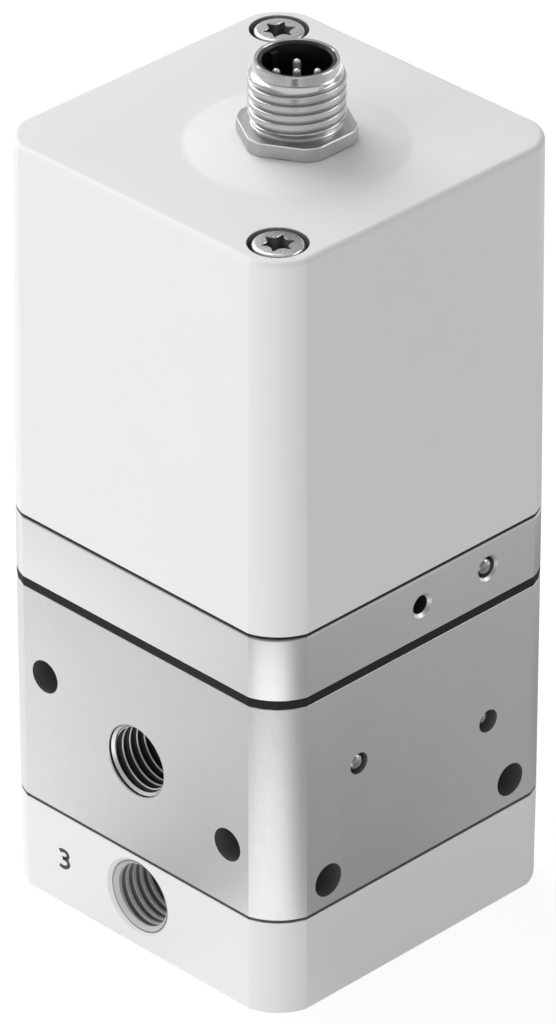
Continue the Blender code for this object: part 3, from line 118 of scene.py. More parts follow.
def surfaceMaterial(name, s):
    # Two sizes of noise on Object coordinates: the coarse one varies colour, the fine one is the
    # grain of roughness and bump. Sizes are in millimetres. A turned finish reads the fine noise by
    # distance from its axis and by height, so that the grain runs round the axis as tool marks.
    material = bpy.data.materials.new(name)
    tree = emptyTree(material)
    place = addNode(tree, "ShaderNodeTexCoord")
    coarse = fine = (place, "Object")
    if "turnedAbout" in s:
        x, y = s["turnedAbout"]
        centred = addNode(tree, "ShaderNodeMapping", {"Location": (-x * mm, -y * mm, 0)},
                          {"Vector": coarse})
        flat = addNode(tree, "ShaderNodeVectorMath", {"operation": "MULTIPLY", 1: (1, 1, 0)},
                       {0: (centred, "Vector")})
        distance = addNode(tree, "ShaderNodeVectorMath", {"operation": "LENGTH"},
                           {0: (flat, "Vector")})
        height = addNode(tree, "ShaderNodeSeparateXYZ", None, {"Vector": coarse})
        rings = addNode(tree, "ShaderNodeCombineXYZ", None,
                        {"X": (distance, "Value"), "Y": (height, "Z")})
        fine = (rings, "Vector")
    patches = addNode(tree, "ShaderNodeTexNoise",
                      {"Scale": 1 / mm / s["patchMm"], "Detail": 3.0, "Roughness": 0.55},
                      {"Vector": coarse})
    grain = addNode(tree, "ShaderNodeTexNoise",
                    {"Scale": 1 / mm / s["grainMm"], "Detail": 2.0, "Roughness": 0.6},
                    {"Vector": fine})
    colours = {"A": hexToLinear(s["colour"]), "B": hexToLinear(s["colourB"])}
    tint = addNode(tree, "ShaderNodeMix", {"data_type": "RGBA", **colours},
                   {"Factor": (patches, "Fac")})
    low, high = s["rough"]
    rough = addNode(tree, "ShaderNodeMapRange",
                    {"From Min": 0.25, "From Max": 0.75, "To Min": low, "To Max": high},
                    {"Value": (grain, "Fac")})
    bump = addNode(tree, "ShaderNodeBump", {"Strength": s["bump"], "Distance": s["depthMm"] * mm},
                   {"Height": (grain, "Fac")})
    shader = addNode(tree, "ShaderNodeBsdfPrincipled", {"Metallic": s["metallic"]},
                     {"Base Color": (tint, "Result"), "Roughness": (rough, "Result"),
                      "Normal": (bump, "Normal")})
    if "ior" in s:
        shader.inputs["IOR"].default_value = s["ior"]
    addNode(tree, "ShaderNodeOutputMaterial", None, {"Surface": (shader, "BSDF")})
    return material


# ---- materials, each for a real surface; some paint shade or highlight into the colour
# what a family of finishes shares
plastic = {"metallic": 0.0, "ior": 1.50, "patchMm": 4, "grainMm": 0.30, "bump": 0.08, "depthMm": 0.02}
sheet = {**plastic, "ior": 1.45, "patchMm": 6, "grainMm": 0.25, "bump": 0.15, "depthMm": 0.03}
metal = {"metallic": 1.0, "patchMm": 3, "grainMm": 0.30, "bump": 0.05, "depthMm": 0.01}
nickel = {**metal, "patchMm": 9, "grainMm": 0.22, "bump": 0.12, "turnedAbout": (connectorX, 0)}


def finish(family, colour, colourB, low, high, **others):
    # a family's values, two colours, least and greatest roughness, and what differs
    return {**family, "colour": colour, "colourB": colourB, "rough": (low, high), **others}


finishes = {
    # injection moulded ABS blend, spark eroded tool: satin, nearly white, very fine grain
    "mouldedWhiteAbs": finish(plastic, "#EFF0F0", "#EBECEC", 0.50, 0.60, patchMm=40, grainMm=0.35,
        bump=0.10),
    # aluminium block, bead blasted and clear anodised: matt grey with a fine sparkle of dents
    "beadBlastedAluminium": finish(metal, "#CBCDCC", "#D1D3D2", 0.42, 0.52, metallic=0.9,
        patchMm=14, grainMm=0.40, bump=0.30, depthMm=0.04),
    # aluminium plate, clear anodised over a ground face: smoother and a little lighter
    "anodisedAluminium": finish(metal, "#D3D4D4", "#D7D8D8", 0.36, 0.42, metallic=0.9, patchMm=20,
        depthMm=0.02),
    # wall and crests of the tapped ports: bare metal, a little rough from the tap, set lighter as a
    # painted highlight
    "cutAluminium": finish(metal, "#DCDDDD", "#E4E5E5", 0.30, 0.42, metallic=0.7, grainMm=0.25,
        bump=0.08, depthMm=0.02),
    # roots of the tapped ports and walls of the ports and the vent: dark metal, painted shade inside
    # the holes
    "portShadeAluminium": finish(metal, "#343534", "#444544", 0.40, 0.55, metallic=0.5,
        bump=0.25, depthMm=0.03),
    # walls of the mounting holes and the plugged drillings: bare metal darkened grey, painted shade
    # inside the holes
    "drillingShadeAluminium": finish(metal, "#868786", "#7A7B7A", 0.40, 0.55, metallic=0.5, bump=0.15,
        depthMm=0.03),
    # moulded thread of the base: the white plastic painted grey on its crests and mouth, as shade
    # inside the port
    "portShadeAbs": finish(plastic, "#C8C9C8", "#CFD0CF", 0.40, 0.50),
    # the same plastic painted dark grey, deeper shade: roots of that thread, wells round the cover
    # screws
    "deepShadeAbs": finish(plastic, "#787978", "#818281", 0.40, 0.50),
    # nitrile rubber sheet: black, dull, faint talc bloom
    "nitrileRubber": finish(sheet, "#0F0F0F", "#161616", 0.70, 0.82),
    # fibre sheet cut for the base gasket: dark grey, dry
    "fibreSheet": finish(sheet, "#454645", "#4B4C4B", 0.70, 0.80),
    # painted shade on the anodised plate's rounded top edge, beside the gasket under the cover
    "jointShadeAnodised": finish(metal, "#8C8D8C", "#949594", 0.50, 0.60, metallic=0.4, patchMm=5,
        depthMm=0.02),
    # connector sleeve, turned brass under bright nickel: fine tool rings that spread the light
    "turnedNickelPlate": finish(nickel, "#D2D2D1", "#C8C8C7", 0.14, 0.20),
    # the same plate painted darker and made rougher: painted shade in the thread's roots, under the
    # flange and on its table
    "shadedNickelPlate": finish(nickel, "#BEBEBD", "#B4B4B3", 0.26, 0.36),
    # sides of the hexagon, drawn bar under the same plate: satin
    "drawnNickelPlate": finish(metal, "#C4C4C3", "#BCBCBB", 0.38, 0.46, patchMm=9, grainMm=0.22,
        bump=0.08),
    # upper edge of the flange: almost white, a painted highlight
    "paintedHighlightEdge": finish(metal, "#F2F2F1", "#EAEAE9", 0.30, 0.36, metallic=0.35, patchMm=6,
        grainMm=0.25),
    # contact pins, tin over brass: pale and satin, so that they show against the black insert
    "tinnedContact": finish(metal, "#D9D9D6", "#D0D0CD", 0.26, 0.34, metallic=0.55, bump=0.03),
    # nut of the connector: smooth nickel over brass
    "nickelPlatedBrass": finish(metal, "#D6D6D4", "#CDCDCB", 0.12, 0.18, patchMm=9, grainMm=0.50,
        bump=0.03),
    # stainless steel screw: cold formed and tumbled, slightly duller than the plating
    "tumbledStainlessSteel": finish(metal, "#CCCDCC", "#C2C3C2", 0.24, 0.34),
    # the punched recess of that screw: darker than the head and in small dark patches, painted shade
    # in the recess
    "recessShadeSteel": finish(metal, "#A6A7A6", "#5A5B5A", 0.30, 0.44, metallic=0.6, patchMm=0.7,
        bump=0.10, depthMm=0.02),
    # springs, drawn stainless wire: bright, with faint marks of the die
    "springSteelWire": finish(metal, "#D0D1D0", "#C4C5C4", 0.20, 0.28, patchMm=2, grainMm=0.20,
        bump=0.06),
    # bearing balls that close the drillings: hardened and polished, their colour darkened as painted
    # shade in the holes
    "polishedSteelBall": finish(metal, "#A9AAA9", "#A1A2A1", 0.10, 0.14, bump=0.03),
    # glass-filled polyamide: black, satin
    "blackPolyamide": finish(plastic, "#090909", "#101010", 0.30, 0.40, patchMm=5, grainMm=0.20),
    # printing ink on the base: dark grey, flat
    "padPrintedInk": finish(plastic, "#303030", "#363636", 0.50, 0.60, patchMm=2, grainMm=0.15,
        bump=0.05, depthMm=0.01),
    # turned brass of the inner valve parts
    "turnedBrass": finish(metal, "#C9A45C", "#BD9750", 0.24, 0.34, turnedAbout=(0, 0), patchMm=5,
        bump=0.15, depthMm=0.02),
    # enamelled copper winding, wires wound round the coil
    "enamelledCopper": finish(metal, "#A5562A", "#8C4420", 0.30, 0.40, grainMm=0.5, bump=0.5,
        depthMm=0.05),
    # glass-fibre circuit board under solder mask
    "solderMaskBoard": finish(plastic, "#1D4A2A", "#23552F", 0.35, 0.45),
}
materials = {name: surfaceMaterial(name, s) for name, s in finishes.items()}

# CAD nodes by finish; the others are steel
cadFinishes = {
    "nitrileRubber": ("diaphragm", "cover_gasket", "guide_o_ring", "stem_o_ring", "poppet_disc",
                      "connector_o_ring"),
    "fibreSheet": ("base_gasket",),
    "turnedBrass": ("poppet_guide", "main_poppet"),
    "anodisedAluminium": ("lower_diaphragm_plate", "upper_diaphragm_plate"),
    "nickelPlatedBrass": ("connector_nut",),
    "solderMaskBoard": ("control_board", "connector_board"),
    "blackPolyamide": ("control_chip", "board_header", "pressure_sensor", "fill_valve_body",
                       "exhaust_valve_body"),
    "enamelledCopper": ("fill_valve_coil", "exhaust_valve_coil"),
}
finishOf = {nodeName: finish for finish, nodeNames in cadFinishes.items() for nodeName in nodeNames}
for nodeName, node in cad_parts.items():
    for slot in node.material_slots:
        slot.material = materials[finishOf.get(nodeName, "tumbledStainlessSteel")]
print("materials made")


# ---- surfaces from numpy grids
def gridFaces(rows, columns, seam):
    # quads between neighbouring rows; the last column joins the first, or with a seam it lies on it
    row = np.arange(rows - 1)[:, None] * columns
    column = np.arange(columns - seam)[None, :]
    following = (column + 1) % columns
    quads = np.stack([row + column, row + following, row + columns + following,
                      row + columns + column], axis=-1)
    return quads.reshape(-1, 4)


def closedMesh(name, grid, material, sharp=14.0, ring=False, seam=False):
    # grid is rows x columns x 3; a ring joins its last row to its first, else ends are capped
    rows, columns = grid.shape[:2]
    if ring:
        grid = np.concatenate([grid, grid[:1]])
        rows += 1
    faces = gridFaces(rows, columns, int(seam)).tolist()
    if not ring:
        faces += [list(range(columns))[::-1], list(range((rows - 1) * columns, rows * columns))]
    mesh = bpy.data.meshes.new(name)
    mesh.from_pydata(grid.reshape(-1, 3).tolist(), [], faces)
    form = bmesh.new()
    form.from_mesh(mesh)
    bmesh.ops.remove_doubles(form, verts=form.verts, dist=1e-7)
    bmesh.ops.dissolve_degenerate(form, edges=form.edges, dist=1e-8)
    bmesh.ops.recalc_face_normals(form, faces=form.faces)
    form.to_mesh(mesh)
    form.free()
    piece = bpy.data.objects.new(name, mesh)
    bpy.context.scene.collection.objects.link(piece)
    if material:
        mesh.materials.append(materials[material])
        shadeByAngle(mesh, sharp)
    return piece


def shadeByAngle(mesh, sharp):
    mesh.shade_smooth()
    mesh.set_sharp_from_angle(angle=math.radians(sharp))


def secondFinish(piece, material, chosen):
    # gives the faces that chosen(centres in mm) picks another material of the same piece
    mesh = piece.data
    centres = np.empty(len(mesh.polygons) * 3)
    mesh.polygons.foreach_get("center", centres)
    slots = np.empty(len(mesh.polygons), dtype=np.int32)
    mesh.polygons.foreach_get("material_index", slots)
    slots[chosen(centres.reshape(-1, 3) / mm)] = len(mesh.materials)
    mesh.materials.append(materials[material])
    mesh.polygons.foreach_set("material_index", slots)


def axisPlaced(grid, origin, direction):
    # turns a grid made about +Z so that +Z points along direction, and moves it to origin (mm)
    turn = np.array(Vector(direction).to_track_quat("Z", "Y").to_matrix())
    return grid @ turn.T + np.array(origin) * mm


def ringRow(angle, radius, height):
    # x = r cos a, y = r sin a, z = h; radius and height may change with the angle
    return np.stack([radius * np.cos(angle), radius * np.sin(angle), height + 0 * angle], axis=-1)


def turnedGrid(profile, steps=96):
    # each (radius, height) in mm becomes a circle
    profile = np.array(profile, float) * mm
    angle = np.arange(steps) * 2 * np.pi / steps
    return ringRow(angle, profile[:, :1], profile[:, 1:2])


def arcPoints(centre, radius, start, end, count=8):
    # points on a circle in a section plane, angles in degrees
    angle = np.radians(np.linspace(start, end, count + 1))
    return np.stack([centre[0] + radius * np.cos(angle), centre[1] + radius * np.sin(angle)], axis=1)


def turnedPiece(name, profile, material, origin=(0, 0, 0), direction=(0, 0, 1), steps=96):
    return closedMesh(name, axisPlaced(turnedGrid(profile, steps), origin, direction), material)


def blockGrid(low, high):
    # box as a stack of two rectangles, corners in mm
    low, high = np.array(low) * mm, np.array(high) * mm
    corners = [(low[0], low[1]), (high[0], low[1]), (high[0], high[1]), (low[0], high[1])]
    return np.array([[(x, y, z) for x, y in corners] for z in (low[2], high[2])])


def combine(piece, tools, operation="DIFFERENCE", sharp=14.0):
    # exact Boolean of the piece with each tool in turn, kept as the piece's own mesh
    for tool in tools:
        step = piece.modifiers.new(tool.name, "BOOLEAN")
        step.operation = operation
        step.solver = "EXACT"
        step.object = tool
    view = bpy.context.evaluated_depsgraph_get()
    mesh = bpy.data.meshes.new_from_object(piece.evaluated_get(view))
    piece.modifiers.clear()
    piece.data = mesh
    for tool in tools:
        bpy.data.objects.remove(tool, do_unlink=True)
    if mesh.materials:
        shadeByAngle(mesh, sharp)
    return piece


def hole(origin, direction, sections, chamfer=0.0, steps=64):
    # cutter from the mouth inwards: (radius, depth) sections in mm, with a chamfered mouth; it
    # starts clear of the face
    first, clear = sections[0][0], 1.0
    profile = [(0, -clear), (first + (chamfer + clear if chamfer else 0), -clear)]
    if chamfer:
        profile.append((first, chamfer))
    depth = 0.0
    for radius, end in sections:
        profile += [(radius, depth)] if depth else []
        profile.append((radius, end))
        depth = end
    profile.append((0, depth))
    return turnedPiece("cutter", profile, None, origin, direction, steps)


def threadWave(turns, crest, root):
    # wave of period 1: 1 on the crest, 0 in the root, straight flanks between
    place = np.abs(2 * (turns % 1.0) - 1)
    return np.clip((place - root) / (1 - crest - root), 0, 1)


def smoothStep(value, low, high):
    share = np.clip((value - low) / (high - low), 0, 1)
    return share * share * (3 - 2 * share)


def helixHeights(low, high, pitch, stations, angle, lead=0.0):
    # rows that follow the thread: z = (turn + station + a / 2 pi) pitch - lead, cut off at both ends
    stations = np.array(stations)
    stations = np.unique(np.concatenate([stations, 1 - stations[stations > 0]]))
    turns = np.arange(math.floor((low + lead) / pitch) - 1, math.ceil((high + lead) / pitch) + 1)
    place = (turns[:, None] + stations[None, :]).ravel()[:, None] + angle[None, :] / (2 * np.pi)
    return np.clip(place * pitch - lead, low, high)


# ---- the outline all layers share
body = {
    "width": 50.0, "cornerChamfer": 5.1, "cornerRadius": 7.6, "flatSteps": 24, "cornerSteps": 14,
    "baseTop": 13.6, "blockBottom": 14.0, "blockTop": 44.8, "plateBottom": 46.0, "plateTop": 54.8,
    "coverBottom": 55.2, "coverTop": 106.7,
}


def fourPlaces(x, y):
    return [(-x, -y), (-x, y), (x, -y), (x, y)]


baseScrewPlaces = fourPlaces(20.5, 20.5)
plateScrewPlaces = fourPlaces(9.5, 19.8)
coverScrewPlaces = [(19.15, -19.15), (-19.15, 19.15)]


def bodyOutline(grow=0.0):
    # square with bowed corners: arcs about fixed centres, so a larger outline keeps their centres
    cut, radius = body["cornerChamfer"], body["cornerRadius"]
    reach = (cut + math.sqrt(2 * radius**2 - cut**2)) / 2
    centre = body["width"] / 2 - reach
    spread = math.acos((reach + grow) / (radius + grow))
    angle = np.linspace(spread, np.pi / 2 - spread, body["cornerSteps"] + 1)
    arc = centre + (radius + grow) * np.stack([np.cos(angle), np.sin(angle)], axis=1)
    share = np.arange(1, body["flatSteps"])[:, None] / body["flatSteps"]
    flat = arc[-1] + (np.array([-arc[0, 1], arc[0, 0]]) - arc[-1]) * share
    quarter = np.concatenate([arc, flat])
    turn = np.array([[0, 1], [-1, 0]])
    quarters = [quarter]
    for _ in range(3):
        quarters.append(quarters[-1] @ turn)
    return np.concatenate(quarters)


def bodyGrid(levels):
    # rows of (height, grow) in mm, each the shared outline at that height
    rows = []
    for height, grow in levels:
        outline = bodyOutline(grow)
        rows.append(np.column_stack([outline, np.full(len(outline), height)]))
    return np.array(rows) * mm


def roundedLevels(low, high, growLow, growHigh, lowRound, highRound, steps=8):
    # drafted side whose end edges are quarter circles: height low + R (1 - cos a) with an inset of
    # R (1 - sin a), and the same from the top; an edge with no round is a single row
    angle = np.linspace(0, np.pi / 2, steps + 1)
    lowAngle = angle if lowRound else angle[-1:]
    highAngle = angle if highRound else angle[:1]
    heights = np.concatenate([low + lowRound * (1 - np.cos(lowAngle)),
                              high - highRound * (1 - np.sin(highAngle))])
    inset = np.concatenate([lowRound * (1 - np.sin(lowAngle)), highRound * (1 - np.cos(highAngle))])
    grow = growLow + (growHigh - growLow) * (heights - low) / (high - low)
    return list(zip(heights, grow - inset))


# ---- cover
cover = {
    "draft": 0.4, "edgeRound": 0.8, "wall": 2.2, "roof": 2.6, "domeRadius": 13.9, "landRadius": 7.9,
    "domeHeight": 1.1, "domeFoot": 0.5, "connectorHole": 5.8, "connectorBore": 8, "holeChamfer": 1.0,
    "counterboreRadius": 3.78, "counterboreDepth": 3.3, "unshadedRim": 0.12, "screwHole": (1.9, 60),
    "column": ((3.7, 50, 100.1), (4.6, 100.1, 110)),  # radius, bottom and top: slim, then wide
}


def domeHeight(distance):
    # spherical rise that is zero at the dome's radius and flat inside the land
    rim, land, rise = cover["domeRadius"], cover["landRadius"], cover["domeHeight"]
    centre = -(rim**2 - land**2 - rise**2) / (2 * rise)
    sphere = math.hypot(rim, centre)
    return centre + np.sqrt(np.maximum(sphere**2 - np.clip(distance, land, rim) ** 2, 0))


def makeCover(s):
    top = body["coverTop"]
    side = bodyGrid(roundedLevels(body["coverBottom"], top, 0, -s["draft"], 0, s["edgeRound"], 10))
    edge = side[-1]
    middle = np.array([connectorX, 0]) * mm
    angle = np.arctan2(edge[:, 1] - middle[1], edge[:, 0] - middle[0])
    ray = np.stack([np.cos(angle), np.sin(angle)], axis=1)
    start = middle + ray * (s["domeRadius"] + s["domeFoot"]) * mm
    rows = []
    for share in (0.34, 0.67, 1.0):  # flat roof between the outline and the dome
        flat = edge[:, :2] + (start - edge[:, :2]) * share
        rows.append(np.column_stack([flat, edge[:, 2]]))
    for distance in (*np.linspace(s["domeRadius"], s["landRadius"], 13), 7.0, 6.0, 4.0, 2.0, 0.0):
        height = np.full(len(ray), (top + domeHeight(distance)) * mm)
        rows.append(np.column_stack([middle + ray * distance * mm, height]))
    shell = closedMesh("coverShell", np.concatenate([side, np.array(rows)]), "mouldedWhiteAbs")
    cavity = closedMesh("cavity", bodyGrid([(body["plateTop"] - 1, -s["wall"]),
                                            (top - s["roof"], -s["wall"] - s["draft"])]), None)
    (slim, bottom, step), (wide, step, high) = s["column"]
    profile = [(0, bottom), (slim, bottom), (slim, step), (wide, step), (wide, high), (0, high)]
    combine(cavity, [turnedPiece("column", profile, None, (x, y, 0), steps=48)
                     for x, y in coverScrewPlaces])
    tools = [cavity, hole((connectorX, 0, top + s["domeHeight"]), (0, 0, -1),
                          [(s["connectorHole"], s["connectorBore"])], s["holeChamfer"], 96)]
    bore = s["counterboreRadius"]
    sections = [(bore, s["unshadedRim"]), (bore, s["counterboreDepth"]), s["screwHole"]]
    tools += [hole((x, y, top), (0, 0, -1), sections, steps=72) for x, y in coverScrewPlaces]
    combine(shell, tools)

    def well(centre):
        x, y = np.abs(coverScrewPlaces[0])
        across = np.hypot(np.abs(centre[:, 0]) - x, np.abs(centre[:, 1]) - y)
        depth = top - centre[:, 2]
        deep = (depth > s["unshadedRim"] + tolerance) & (depth < s["counterboreDepth"] + s["wall"])
        return (across < bore + tolerance) & deep

    # painted shade: the wells round the screw heads are dark grey below a white rim
    secondFinish(shell, "deepShadeAbs", well)
    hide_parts("top_cover")
    return shell


# ---- metal blocks
block = {
    "lowEdge": 0.12, "topEdge": 0.14, "flowPortHeight": 27.7, "portRadius": 4.90, "portMouth": 5.03,
    "supplyDepth": 14.5, "outputDepth": 11.0, "mountRadius": 2.27, "mountSide": 16.2,
    "upperMount": 32.9, "lowerMount": 22.95, "crossMount": 17.75, "mountLength": 51,
    "supplyChamber": ((0, 13), (10, 13), (10, 31), (5.5, 31), (5.5, 30.6), (0, 30.6)),
    "outputChamber": ((0, 30), (4.5, 30), (4.5, 33.5), (6.5, 33.5), (6.5, 38), (15, 38), (15, 46),
                      (0, 46)),
    "supplyPassage": (3.5, 18), "outputPassage": (3.0, 13.3), "outputPassageTop": 38.2,
    "baseScrewHole": (1.6, 12), "plateScrewHole": (1.6, 8),
}
plate = {
    "lowEdge": 0.14, "topEdge": 0.38, "jointShade": 0.20, "ventHeight": 50.46, "ventRadius": 1.25,
    "ventMouth": 1.66, "chamber": ((15, 2.3), (5.2, 4.8)), "plateScrewHole": ((2.85, 3.4), (1.6, 10)),
    "coverScrewHole": (1.8, 6.5),
}
drilling = 13  # mm, length of the vent and of the plugged drillings
# hole closed by a pressed-in ball: hole and mouth radius, and depth of the ball's centre
ballHoles = {
    "upperBallPlug": {"node": "block_ball_upper", "hole": 1.46, "mouth": 1.50, "depth": 1.46},
    "lowerBallPlug": {"node": "block_ball_lower", "hole": 1.56, "mouth": 1.60, "depth": 2.25},
    "plateBallPlug": {"node": "plate_ball", "hole": 1.44, "mouth": 1.78, "depth": 1.50},
}


def ballPlace(s):
    # the ball's place along the face, from the frame: y and z in mm
    low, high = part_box(s["node"])
    return (low[1] + high[1]) / 2 / mm, (low[2] + high[2]) / 2 / mm


def ballHole(s):
    return hole((body["width"] / 2, *ballPlace(s)), (-1, 0, 0), [(s["hole"], drilling)],
                s["mouth"] - s["hole"])


def onWall(centre, at, radius, axis=0):
    # faces of a wall of that radius about a line along the axis through the place; a facet's middle
    # lies a little inside it
    across = np.delete(centre, axis, axis=1) - at
    return np.abs(np.hypot(across[:, 0], across[:, 1]) - radius) < 3 * tolerance


def makeBlock(s):
    half = body["width"] / 2
    levels = roundedLevels(body["blockBottom"], body["blockTop"], 0, 0, s["lowEdge"], s["topEdge"], 4)
    piece = closedMesh("valveBlockBody", bodyGrid(levels), "beadBlastedAluminium")
    chamfer = s["portMouth"] - s["portRadius"]
    z = s["flowPortHeight"]
    tools = [
        turnedPiece("cutter", s["supplyChamber"], None),
        turnedPiece("cutter", s["outputChamber"], None),
        hole((0, -half, z), (0, 1, 0), [(s["portRadius"], s["supplyDepth"]), s["supplyPassage"]],
             chamfer, 96),
        hole((0, half, z), (0, -1, 0), [(s["portRadius"], s["outputDepth"])], chamfer, 96),
        hole((0, half - s["outputDepth"], s["outputPassageTop"]), (0, 0, -1), [s["outputPassage"]]),
    ]
    side = s["mountSide"]
    alongY = ((-side, s["upperMount"]), (side, s["lowerMount"]))
    alongX = ((-side, s["crossMount"]), (side, s["crossMount"]))
    mount = [(s["mountRadius"], s["mountLength"])]
    balls = (ballHoles["upperBallPlug"], ballHoles["lowerBallPlug"])
    tools += [hole((x, -half, height), (0, 1, 0), mount) for x, height in alongY]
    tools += [hole((half, y, height), (-1, 0, 0), mount) for y, height in alongX]
    tools += [ballHole(ball) for ball in balls]
    tools += [hole((x, y, body["blockBottom"]), (0, 0, 1), [s["baseScrewHole"]], steps=24)
              for x, y in baseScrewPlaces]
    tools += [hole((x, y, body["blockTop"]), (0, 0, -1), [s["plateScrewHole"]], steps=24)
              for x, y in plateScrewPlaces]
    combine(piece, tools)

    def portWall(centre):
        return onWall(centre, (0, z), s["portRadius"], 1)

    def holeWalls(centre):
        walls = [onWall(centre, place, s["mountRadius"], 1) for place in alongY]
        walls += [onWall(centre, place, s["mountRadius"]) for place in alongX]
        walls += [onWall(centre, ballPlace(ball), ball["hole"]) for ball in balls]
        return np.any(walls, axis=0)

    # painted shade: the port's wall gets dark metal
    secondFinish(piece, "portShadeAluminium", portWall)
    # painted shade: the walls of the mounting holes and ball drillings get grey metal
    secondFinish(piece, "drillingShadeAluminium", holeWalls)
    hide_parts("valve_block")
    return piece


def makePlate(s):
    half = body["width"] / 2
    levels = roundedLevels(body["plateBottom"], body["plateTop"], 0, 0, s["lowEdge"], s["topEdge"], 6)
    piece = closedMesh("pilotPlateBody", bodyGrid(levels), "anodisedAluminium")
    ball = ballHoles["plateBallPlug"]
    tools = [
        hole((0, 0, body["plateBottom"]), (0, 0, 1), s["chamber"]),
        hole((half, 0, s["ventHeight"]), (-1, 0, 0), [(s["ventRadius"], drilling)],
             s["ventMouth"] - s["ventRadius"]),
        ballHole(ball),
    ]
    tools += [hole((x, y, body["plateTop"]), (0, 0, -1), s["plateScrewHole"], steps=32)
              for x, y in plateScrewPlaces]
    tools += [hole((x, y, body["plateTop"]), (0, 0, -1), [s["coverScrewHole"]], steps=32)
              for x, y in coverScrewPlaces]
    combine(piece, tools)

    # faces of the top edge's round within that depth get the painted shade
    def jointShade(centre):
        depth = body["plateTop"] - centre[:, 2]
        return (depth < s["jointShade"]) & (depth > tolerance)

    def ventWall(centre):
        return onWall(centre, (0, s["ventHeight"]), s["ventRadius"])

    def ballWall(centre):
        return onWall(centre, ballPlace(ball), ball["hole"])

    # painted shade along the plate's top edge
    secondFinish(piece, "jointShadeAnodised", jointShade)
    # painted shade: the vent's wall gets dark metal
    secondFinish(piece, "portShadeAluminium", ventWall)
    # painted shade: the wall of the ball's hole gets grey metal
    secondFinish(piece, "drillingShadeAluminium", ballWall)
    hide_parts("pilot_plate")
    return piece


# ---- base cap
base = {
    "draft": 0.12, "edgeRound": 0.4, "topEdge": 0.1, "portHeight": 7.4, "mouthRadius": 5.46,
    "mouthCone": 0.44, "wallRadius": 5.02, "portDepth": 12.0, "passage": 3.5, "wellRadius": 4.0,
    "wellFloor": 3.4, "screwHole": ((2.85, 3.4), (1.6, 15)),
    "portSet": 0.0547,  # the drafted face lies that far behind the widest outline at the port
}


def makeBase(s):
    levels = roundedLevels(0, body["baseTop"], -s["draft"], 0, s["edgeRound"], s["topEdge"], 8)
    piece = closedMesh("baseCapBody", bodyGrid(levels), "mouldedWhiteAbs")
    half = body["width"] / 2
    profile = [(0, -1), (s["mouthRadius"] + 1, -1), (s["wallRadius"], s["mouthCone"]),
               (s["wallRadius"], s["portDepth"]), (s["passage"], s["portDepth"]),
               (s["passage"], half), (0, half)]
    mouth = (0, s["portSet"] - half, s["portHeight"])
    tools = [
        turnedPiece("cutter", profile, None, mouth, (0, 1, 0)),
        hole((0, 0, body["baseTop"]), (0, 0, -1),
             [(s["wellRadius"], body["baseTop"] - s["wellFloor"])]),
    ]
    tools += [hole((x, y, 0), (0, 0, 1), s["screwHole"], steps=48) for x, y in baseScrewPlaces]
    combine(piece, tools)
    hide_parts("base_cap")
    return piece


shell = [makeCover(cover), makePlate(plate), makeBlock(block), makeBase(base)]
print("cover, plate, block and base made")

# ---- port threads, drawn with the coarse pitch that the picture shows
# stations are the places in one pitch where its profile has rows
portThread = {"pitch": 1.24, "minor": 4.28, "columns": 144, "crestLine": 0.12}
# the tapped ports: mouth's cone and crest lines painted light, roots painted dark, as highlight and
# shade
tappedProfile = {"cone": "cutAluminium", "crest": "cutAluminium", "valley": "portShadeAluminium",
                 "wall": 4.83, "back": 4.88, "lip": 0.45, "coneWidth": 0.34, "lead": 0.45,
                 "crestShare": 0.10, "rootShare": 0.34, "stations": (0, 0.05, 0.11, 0.2, 0.33, 0.5)}
# the moulded port: cone and crests painted grey, roots painted dark grey, as shade inside the port
mouldedProfile = {"cone": "portShadeAbs", "crest": "portShadeAbs", "valley": "deepShadeAbs",
                  "wall": 4.80, "back": 5.00, "lip": 0.50, "coneWidth": 0.50, "lead": -0.05,
                  "crestShare": 0.34, "rootShare": 0.14, "stations": (0, 0.17, 0.23, 0.33, 0.43, 0.5)}
ports = {
    "supplyThread": {**tappedProfile, "end": 14.0, "y": -1, "height": block["flowPortHeight"],
                     "slot": "blasted_aluminium"},
    "outputThread": {**tappedProfile, "end": 10.6, "y": 1, "height": block["flowPortHeight"],
                     "slot": "blasted_aluminium"},
    "exhaustThread": {**mouldedProfile, "end": 11.6, "y": -1, "height": base["portHeight"],
                      "slot": "base_plastic"},
}


def makePortThread(name, p, s):
    # cone r = wall - (z - lip), then r = wall - depth * wave((z + lead) / pitch - a / 2 pi)
    origin, direction = (0, p["y"] * body["width"] / 2, p["height"]), (0, -p["y"], 0)
    angle = np.linspace(0, 2 * np.pi, s["columns"] + 1)
    start = p["lip"] + p["coneWidth"]
    z = helixHeights(start, p["end"], s["pitch"], p["stations"], angle, p["lead"])
    wave = threadWave((z + p["lead"]) / s["pitch"] - angle / (2 * np.pi), p["crestShare"],
                      p["rootShare"])
    rows = [(p["wall"], p["lip"]), (p["wall"] - p["coneWidth"], start)]
    rows += list(zip(p["wall"] - (p["wall"] - s["minor"]) * wave, z))
    rows += [(p["back"], p["end"]), (p["back"], p["lip"])]
    grid = np.array([ringRow(angle, radius, height) for radius, height in rows]) * mm
    grid = axisPlaced(grid, origin, direction)
    piece = closedMesh(name, grid, p["valley"], 30.0, ring=True, seam=True)

    def shape(centre):
        across = np.hypot(centre[:, 0], centre[:, 2] - p["height"])
        return across, body["width"] / 2 - np.abs(centre[:, 1])

    def crest(centre):
        across, depth = shape(centre)
        return (across < s["minor"] + s["crestLine"]) & (depth > start + tolerance)

    def cone(centre):
        depth = shape(centre)[1]
        return (depth > p["lip"] + tolerance) & (depth < start - tolerance)

    secondFinish(piece, p["crest"], crest)
    secondFinish(piece, p["cone"], cone)
    return piece


threads = [makePortThread(name, p, portThread) for name, p in ports.items()]
print("port threads made")

